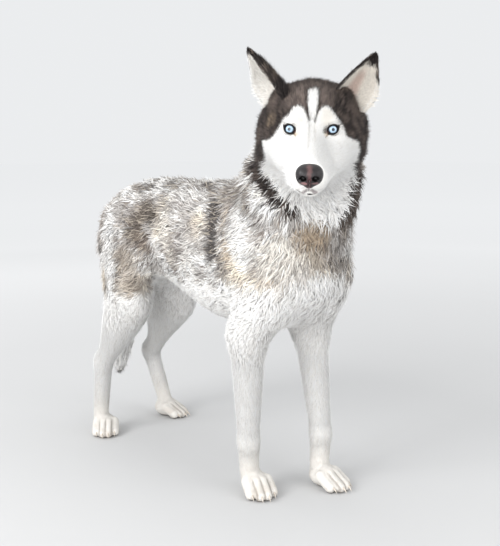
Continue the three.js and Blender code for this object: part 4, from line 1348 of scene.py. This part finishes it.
def build_nose():
    p, quads = mesh_of(nose_carved, [-24, -114, -62], [24, -62, -12], 0.8, coarse=2)
    p = settle(nose_carved, p, 0, 2)
    x, ragged = np.abs(p[:, 0]), 3.2 * (noise(p, 3.2, 21) - 0.5)
    tones = np.tile(NOSE_BLACK, (len(p), 1))
    front = ramp(p[:, 1], -92, -98)
    # A rosy band comes down the middle and darkens towards the cleft; rosy wedges lie under the nostrils.
    half = np.interp(p[:, 2], [-44, -34, -24], [2.6, 3.4, 4.6]) + 1.2
    middle = ramp(x + ragged, half, 1.2) * ramp(p[:, 1], -84, -94)
    rosy = paint(NOSE_ROSE_LOW, NOSE_ROSE, ramp(p[:, 2], -42, -30))
    tones = paint(tones, rosy, 0.8 * middle)
    for side in (1, -1):
        wedge = ellipsoid([side * 8.2, -98, -45.5], [5.6, 10, 2.7])(p) + ragged
        # The wedge on the dog's left, away from the key light, is painted darker: painted shade.
        rose = NOSTRIL_ROSE * (1 if side < 0 else 0.6)
        tones = paint(tones, rose, 0.85 * front * ramp(wedge, 0.6, -1.4))
        # The nostrils are painted near black: painted shade inside the holes.
        nostril = ellipsoid([side * 9.4, -102, -38.6], [5.8, 10, 4.9])(p)
        tones = paint(tones, NOSTRIL_PAINTED_SHADE, ramp(nostril, 0.6, -0.4))
    # Painted shade in the cleft down the middle of the nose.
    tones = paint(tones, CLEFT_PAINTED_SHADE, ramp(x, 0.9, 0.4) * ramp(p[:, 2], -38, -41) * front)
    piece = add_mesh("nose_leather", head.out(p), quads, nose_look, "nose", tones)
    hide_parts("nose")


# The eyes.


IRIS = math.radians(33.5)
PUPIL = math.radians(12.5)
# Angles of an eyeball's rings from the middle of the pupil, closer together over the iris.
EYE_RINGS = np.radians([*np.linspace(1.2, 37, 34), *np.linspace(40, 174, 32)])
EYE_SPOKES, LID_SPOKES = 96, 72


def build_eye(at):
    side, place = at["side"], EYES[at["side"]]
    turns = 2 * math.pi * np.arange(EYE_SPOKES) / EYE_SPOKES
    a, b = (angles.ravel() for angles in np.meshgrid(EYE_RINGS, turns, indexing="ij"))
    bulge = 0.55 * ramp(a, IRIS * 1.15, IRIS * 0.3)
    way = np.stack([np.sin(a) * np.cos(b), np.sin(a) * np.sin(b), np.cos(a)], 1)
    local = way * column(EYE_RADIUS - 0.25 + bulge)
    ends = np.array([[0, 0, -EYE_RADIUS + 0.25], [0, 0, EYE_RADIUS + 0.3]])
    fibre = noise(np.stack([6 * np.cos(b), 6 * np.sin(b), a * 3], 1), 0.55, 31 + side)
    streak = noise(np.stack([14 * np.cos(b), 14 * np.sin(b), a * 5], 1), 0.6, 33 + side)
    tone = paint(IRIS_SHADE, IRIS_LIGHT, 0.35 * fibre + 0.65 * streak)
    tone = paint(tone, IRIS_MIDDLE, 0.5 * ramp(a, IRIS * 0.9, IRIS * 0.5))
    tone = paint(tone, IRIS_RING, ramp(a, IRIS * 0.80, IRIS * 0.95))
    # The white of the eye is painted darker away from the iris, to near black under the lids: painted
    # shade.
    white = paint(EYE_WHITE, EYE_EDGE_PAINTED_SHADE, ramp(a, IRIS * 2.1, IRIS * 1.4))
    tone = paint(tone, white, ramp(a, IRIS * 1.0, IRIS * 1.08))
    tone = paint(tone, PUPIL_BLACK, ramp(a, PUPIL * 1.12, PUPIL * 0.9))
    tones = np.vstack([tone, EYE_BACK, PUPIL_BLACK])
    rings, turn = len(EYE_RINGS), np.arange(EYE_SPOKES)
    back = fan((rings - 1) * EYE_SPOKES + turn, len(local))
    front = fan(turn, len(local) + 1)[:, ::-1]
    whole = np.vstack([local, ends])
    faces = facing_out(whole, np.vstack([halved(ring_faces(rings, EYE_SPOKES)), back, front]))
    piece = add_mesh(f"eyeball_{at['word']}", head.out(place.out(whole)), faces, eye_look, "eye", tones)
    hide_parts(f"eye_{at['word']}")


# A lid's rings: the share of the almond's size, and how far out of the ball they lie.
LID_RINGS = [(0.97, -0.6), (0.98, 0.25), (1.03, 1.1), (1.12, 1.7)]
LID_RINGS += [(1.24, 1.9), (1.38, 1.7), (1.54, 1.6), (1.72, 1.5)]


def build_lids(at):
    """Both lids of an eye as one sheet, from their black edges on the ball out to the skin."""
    side, place = at["side"], EYES[at["side"]]
    edge = lid_edge(side, 2 * math.pi * (np.arange(LID_SPOKES) + 0.5) / LID_SPOKES)
    rings = []
    for scale, proud in LID_RINGS:
        xy = edge * scale
        lift = np.sqrt(np.maximum(4, (EYE_RADIUS + proud) ** 2 - (xy**2).sum(1)))
        rings.append(place.out(np.hstack([xy, column(lift)])))
    # The last ring lies just under the skin.
    rings[-1] = head.into(settle(lambda p: flesh(p) + coat_depth(p), head.out(rings[-1]), -0.6))
    whole = np.vstack(rings)
    faces = ring_faces(len(rings), LID_SPOKES)
    across = np.cross(whole[faces[:, 2]] - whole[faces[:, 0]], whole[faces[:, 3]] - whole[faces[:, 1]])
    if (across @ place.turn)[:, 2].sum() < 0:
        faces = faces[:, ::-1]
    xy = place.into(whole)[:, :2]
    levels = np.repeat(np.arange(len(rings)), LID_SPOKES)
    pale = ramp(rim_reach(side, xy), -0.4, 0.7) * (levels > 3)
    tones = paint(LID_BLACK, WHITE * 0.9, pale)
    inner_corner = np.linalg.norm(xy - [-side * 11.5, -1], axis=1)
    tones = paint(tones, TEAR_DUCT, 0.6 * ramp(inner_corner, 4.5, 1.5))
    add_mesh(f"lids_{at['word']}", head.out(whole), faces, lid_look, "coat_dark", tones)


# The claws: short curved cones, one to a toe.


def build_claws(paw):
    rings, spokes = 14, 16
    t = np.linspace(0, 1, rings)
    weights = np.stack([(1 - t) ** 3, 3 * t * (1 - t) ** 2, 3 * t * t * (1 - t), t**3], 1)
    turns = 2 * math.pi * np.arange(spokes) / spokes
    radius = mix(3.1, 0.4, t**1.3)
    last, turn = (rings - 1) * spokes, np.arange(spokes)
    caps = [fan(last + turn, rings * spokes), fan(turn, rings * spokes + 1)[:, [1, 0, 2]]]
    triangles = np.vstack([halved(ring_faces(rings, spokes)), *caps])
    tone = paint(CLAW_ROOT, CLAW_TIP, np.repeat(t, spokes))
    for i, (x, front) in enumerate(toe_places(paw["wide"], paw["long"])):
        y = front - 4
        middle = weights @ np.array([[x, y + 5, 12], [x, y - 4, 12.3], [x, y - 9, 9.5], [x, y - 12, 3.6]])
        way = unit(np.gradient(middle, axis=0))
        up = np.cross(way, [1, 0, 0])
        sideways = 0.72 * radius[:, None, None] * np.cos(turns)[None, :, None] * np.array([1, 0, 0])
        upwards = (radius[:, None] * np.sin(turns)[None])[:, :, None] * up[:, None]
        ring = (middle[:, None] + sideways + upwards).reshape(-1, 3)
        whole = np.vstack([ring, middle[-1] + way[-1] * 0.3, middle[0]])
        faces = facing_out(whole, triangles)
        whole[:, 2] = np.maximum(whole[:, 2], SOLE_LEVEL)
        name = paw["name"].replace("paw", "claw") + f"_{i + 1}"
        tones = np.vstack([tone, tone[-1], tone[0]])
        piece = add_mesh(f"{name}_horn", paw["place"].out(whole), faces, claw_look, "claw", tones)
        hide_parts(name)


# Materials.


def add_node(tree, kind, inputs):
    """A node whose inputs are given by name, each as a value or as an output to link."""
    node = tree.nodes.new(kind)
    for name, value in inputs.items():
        if isinstance(value, bpy.types.NodeSocket):
            tree.links.new(value, node.inputs[name])
        else:
            node.inputs[name].default_value = value
    return node


def object_places(tree):
    return add_node(tree, "ShaderNodeTexCoord", {}).outputs["Object"]


def bump(tree, shader, height, strength, distance):
    inputs = {"Strength": strength, "Distance": distance, "Height": height}
    tree.links.new(add_node(tree, "ShaderNodeBump", inputs).outputs["Normal"], shader.inputs["Normal"])


def own_look(name, vary, scale, settings, relief=None, pebbles=None):
    """A material in a piece's own colours, varied by fine noise, with a relief of grain or pebbles."""
    made, tree, shader = new_material(name)
    attribute = tree.nodes.new("ShaderNodeAttribute")
    attribute.attribute_name = "tone"
    places = object_places(tree)
    fine = add_node(tree, "ShaderNodeTexNoise", {"Vector": places, "Scale": scale, "Detail": 4})
    grain = fine.outputs["Fac"]
    span = {"Value": grain, "To Min": 1 - vary, "To Max": 1 + vary}
    spread = add_node(tree, "ShaderNodeMapRange", span)
    varied = tree.nodes.new("ShaderNodeVectorMath")
    varied.operation = "SCALE"
    tree.links.new(attribute.outputs["Color"], varied.inputs[0])
    tree.links.new(spread.outputs["Result"], varied.inputs["Scale"])
    tree.links.new(varied.outputs["Vector"], shader.inputs["Base Color"])
    for socket, value in settings.items():
        shader.inputs[socket].default_value = value
    if pebbles:
        cells = add_node(tree, "ShaderNodeTexVoronoi", {"Vector": places, "Scale": pebbles})
        grain = cells.outputs["Distance"]
    if relief:
        bump(tree, shader, grain, *relief)
    return made


# How the surfaces shine, then each material: how much its tone varies, the noise's scale, and its relief.
DULL = {"Roughness": 0.7, "Specular IOR Level": 0.12}
DULLER = {"Roughness": 0.8, "Specular IOR Level": 0.08}
MOIST = {"Roughness": 0.32, "Specular IOR Level": 0.4}
SATIN = {"Roughness": 0.55, "Specular IOR Level": 0.25}
WET = {"Roughness": 0.25, "Coat Weight": 1.0, "Coat Roughness": 0.03}
coat_look = own_look("husky_coat", 0.14, 900, DULL)
skin_look = own_look("husky_skin", 0.18, 1400, DULLER, relief=(0.5, 0.0008))
nose_look = own_look("nose_leather", 0.2, 500, MOIST, relief=(0.5, 0.0004), pebbles=1000)
eye_look = own_look("eye_surface", 0.08, 3000, WET)
lid_look = own_look("lid_rim", 0.1, 1500, SATIN, relief=(0.3, 0.0003))
claw_look = own_look("claw_horn", 0.12, 700, {"Roughness": 0.42}, relief=(0.2, 0.0003))

SKIN_SHADE = 0.92
skin_tones, _ = coat_colour(points)
on_ear = kinds > SKIN
skin_tones[on_ear] = ear_tone(points[on_ear], (kinds[on_ear] == EAR_INSIDE).astype(float))
body = add_mesh("skin", points, triangles, skin_look, "coat_white", skin_tones * SKIN_SHADE)
flesh_nodes = ["head", "neck", "torso", "tail"]
for at in SIDES:
    names = ("ear", "front_leg", "front_paw", "hind_leg", "hind_paw")
    flesh_nodes += [f"{name}_{at['word']}" for name in names]
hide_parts(*flesh_nodes)

for coat in COATS:
    grow_coat(*coat)
build_nose()
for at in SIDES:
    build_eye(at)
    build_lids(at)
for paw in PAWS:
    build_claws(paw)


# The camera, at the photograph's place and angle.
CAMERA_SPOT = to_scene([-1054.6, -1358.3, 627.6])
CAMERA_TURN = -40.745
CAMERA_DIP = 8.277
FOCAL_PIXELS, FRAME_HEIGHT, SENSOR = 860.5, 546, 36.0
camera_data = bpy.data.cameras.new("camera")
camera_data.sensor_fit = "VERTICAL"
camera_data.sensor_height = SENSOR
camera_data.lens = FOCAL_PIXELS / FRAME_HEIGHT * SENSOR
camera = bpy.data.objects.new("camera", camera_data)
camera.location = Vector(CAMERA_SPOT)
camera.rotation_euler = (math.radians(90 - CAMERA_DIP), 0, math.radians(CAMERA_TURN))
bpy.context.scene.collection.objects.link(camera)
bpy.context.scene.camera = camera


# Soft studio light, turned to the middle of the dog, and a pale floor.
LIT_MIDDLE = Vector((0, 0, 0.4))


def add_light(name, spot, size, power):
    data = bpy.data.lights.new(name, "AREA")
    data.energy, data.size = power, size
    light = bpy.data.objects.new(name, data)
    light.location = spot
    light.rotation_euler = (LIT_MIDDLE - Vector(spot)).to_track_quat("-Z", "Y").to_euler()
    bpy.context.scene.collection.objects.link(light)


# Name, place, size in metres and power in watts.
add_light("key", (-3.0, 0.3, 2.0), 1.8, 72)
add_light("front", (-2.4, -1.6, 0.8), 1.8, 36)
add_light("fill", (0.6, -2.6, 1.5), 2.2, 22)
add_light("top", (-0.2, 0.3, 3.0), 2.4, 10)
add_light("back", (1.2, 2.4, 1.8), 1.8, 6)

WORLD_COLOUR, WORLD_TONE = (0.97, 0.985, 1.0, 1), 0.86
bpy.context.scene.view_settings.view_transform = "Standard"
world = bpy.data.worlds.new("studio")
bpy.context.scene.world = world
world.use_nodes = True
background = world.node_tree.nodes["Background"]
background.inputs["Color"].default_value = WORLD_COLOUR
background.inputs["Strength"].default_value = WORLD_TONE

FLOOR_HALF = 30.0
# The floor's tone by the share of FADE_LENGTH from the dog: paler as the lights fall off, so that it
# meets the world without a line.
FADE_LENGTH = 8.0
FLOOR_TONES = [(0, 0.56), (0.15, 0.62), (0.25, 0.7), (0.35, 0.8), (0.5, 0.92), (0.75, 0.97), (1, 0.99)]


def floor_look():
    made, tree, shader = new_material("studio_floor")
    places = object_places(tree)
    away = add_node(tree, "ShaderNodeVectorMath", {})
    away.operation = "LENGTH"
    tree.links.new(places, away.inputs[0])
    span = add_node(tree, "ShaderNodeMapRange", {"From Max": FADE_LENGTH, "Value": away.outputs["Value"]})
    tones = add_node(tree, "ShaderNodeValToRGB", {"Fac": span.outputs["Result"]})
    stops = tones.color_ramp.elements
    for place, level in FLOOR_TONES[1:-1]:
        stops.new(place)
    for stop, (place, level) in zip(stops, FLOOR_TONES):
        stop.position, stop.color = place, (level, level, level, 1)
    grain = add_node(tree, "ShaderNodeTexNoise", {"Vector": places, "Scale": 60})
    bump(tree, shader, grain.outputs["Fac"], 0.1, 0.001)
    tree.links.new(tones.outputs["Color"], shader.inputs["Base Color"])
    shader.inputs["Roughness"].default_value = 0.85
    shader.inputs["Specular IOR Level"].default_value = 0.0
    return made


floor_mesh = bpy.data.meshes.new("floor")
ends = (-FLOOR_HALF, FLOOR_HALF)
floor_mesh.from_pydata([(x, y, 0) for y in ends for x in ends], [], [(0, 1, 3, 2)])
floor = bpy.data.objects.new("floor", floor_mesh)
bpy.context.scene.collection.objects.link(floor)
floor_mesh.materials.append(floor_look())
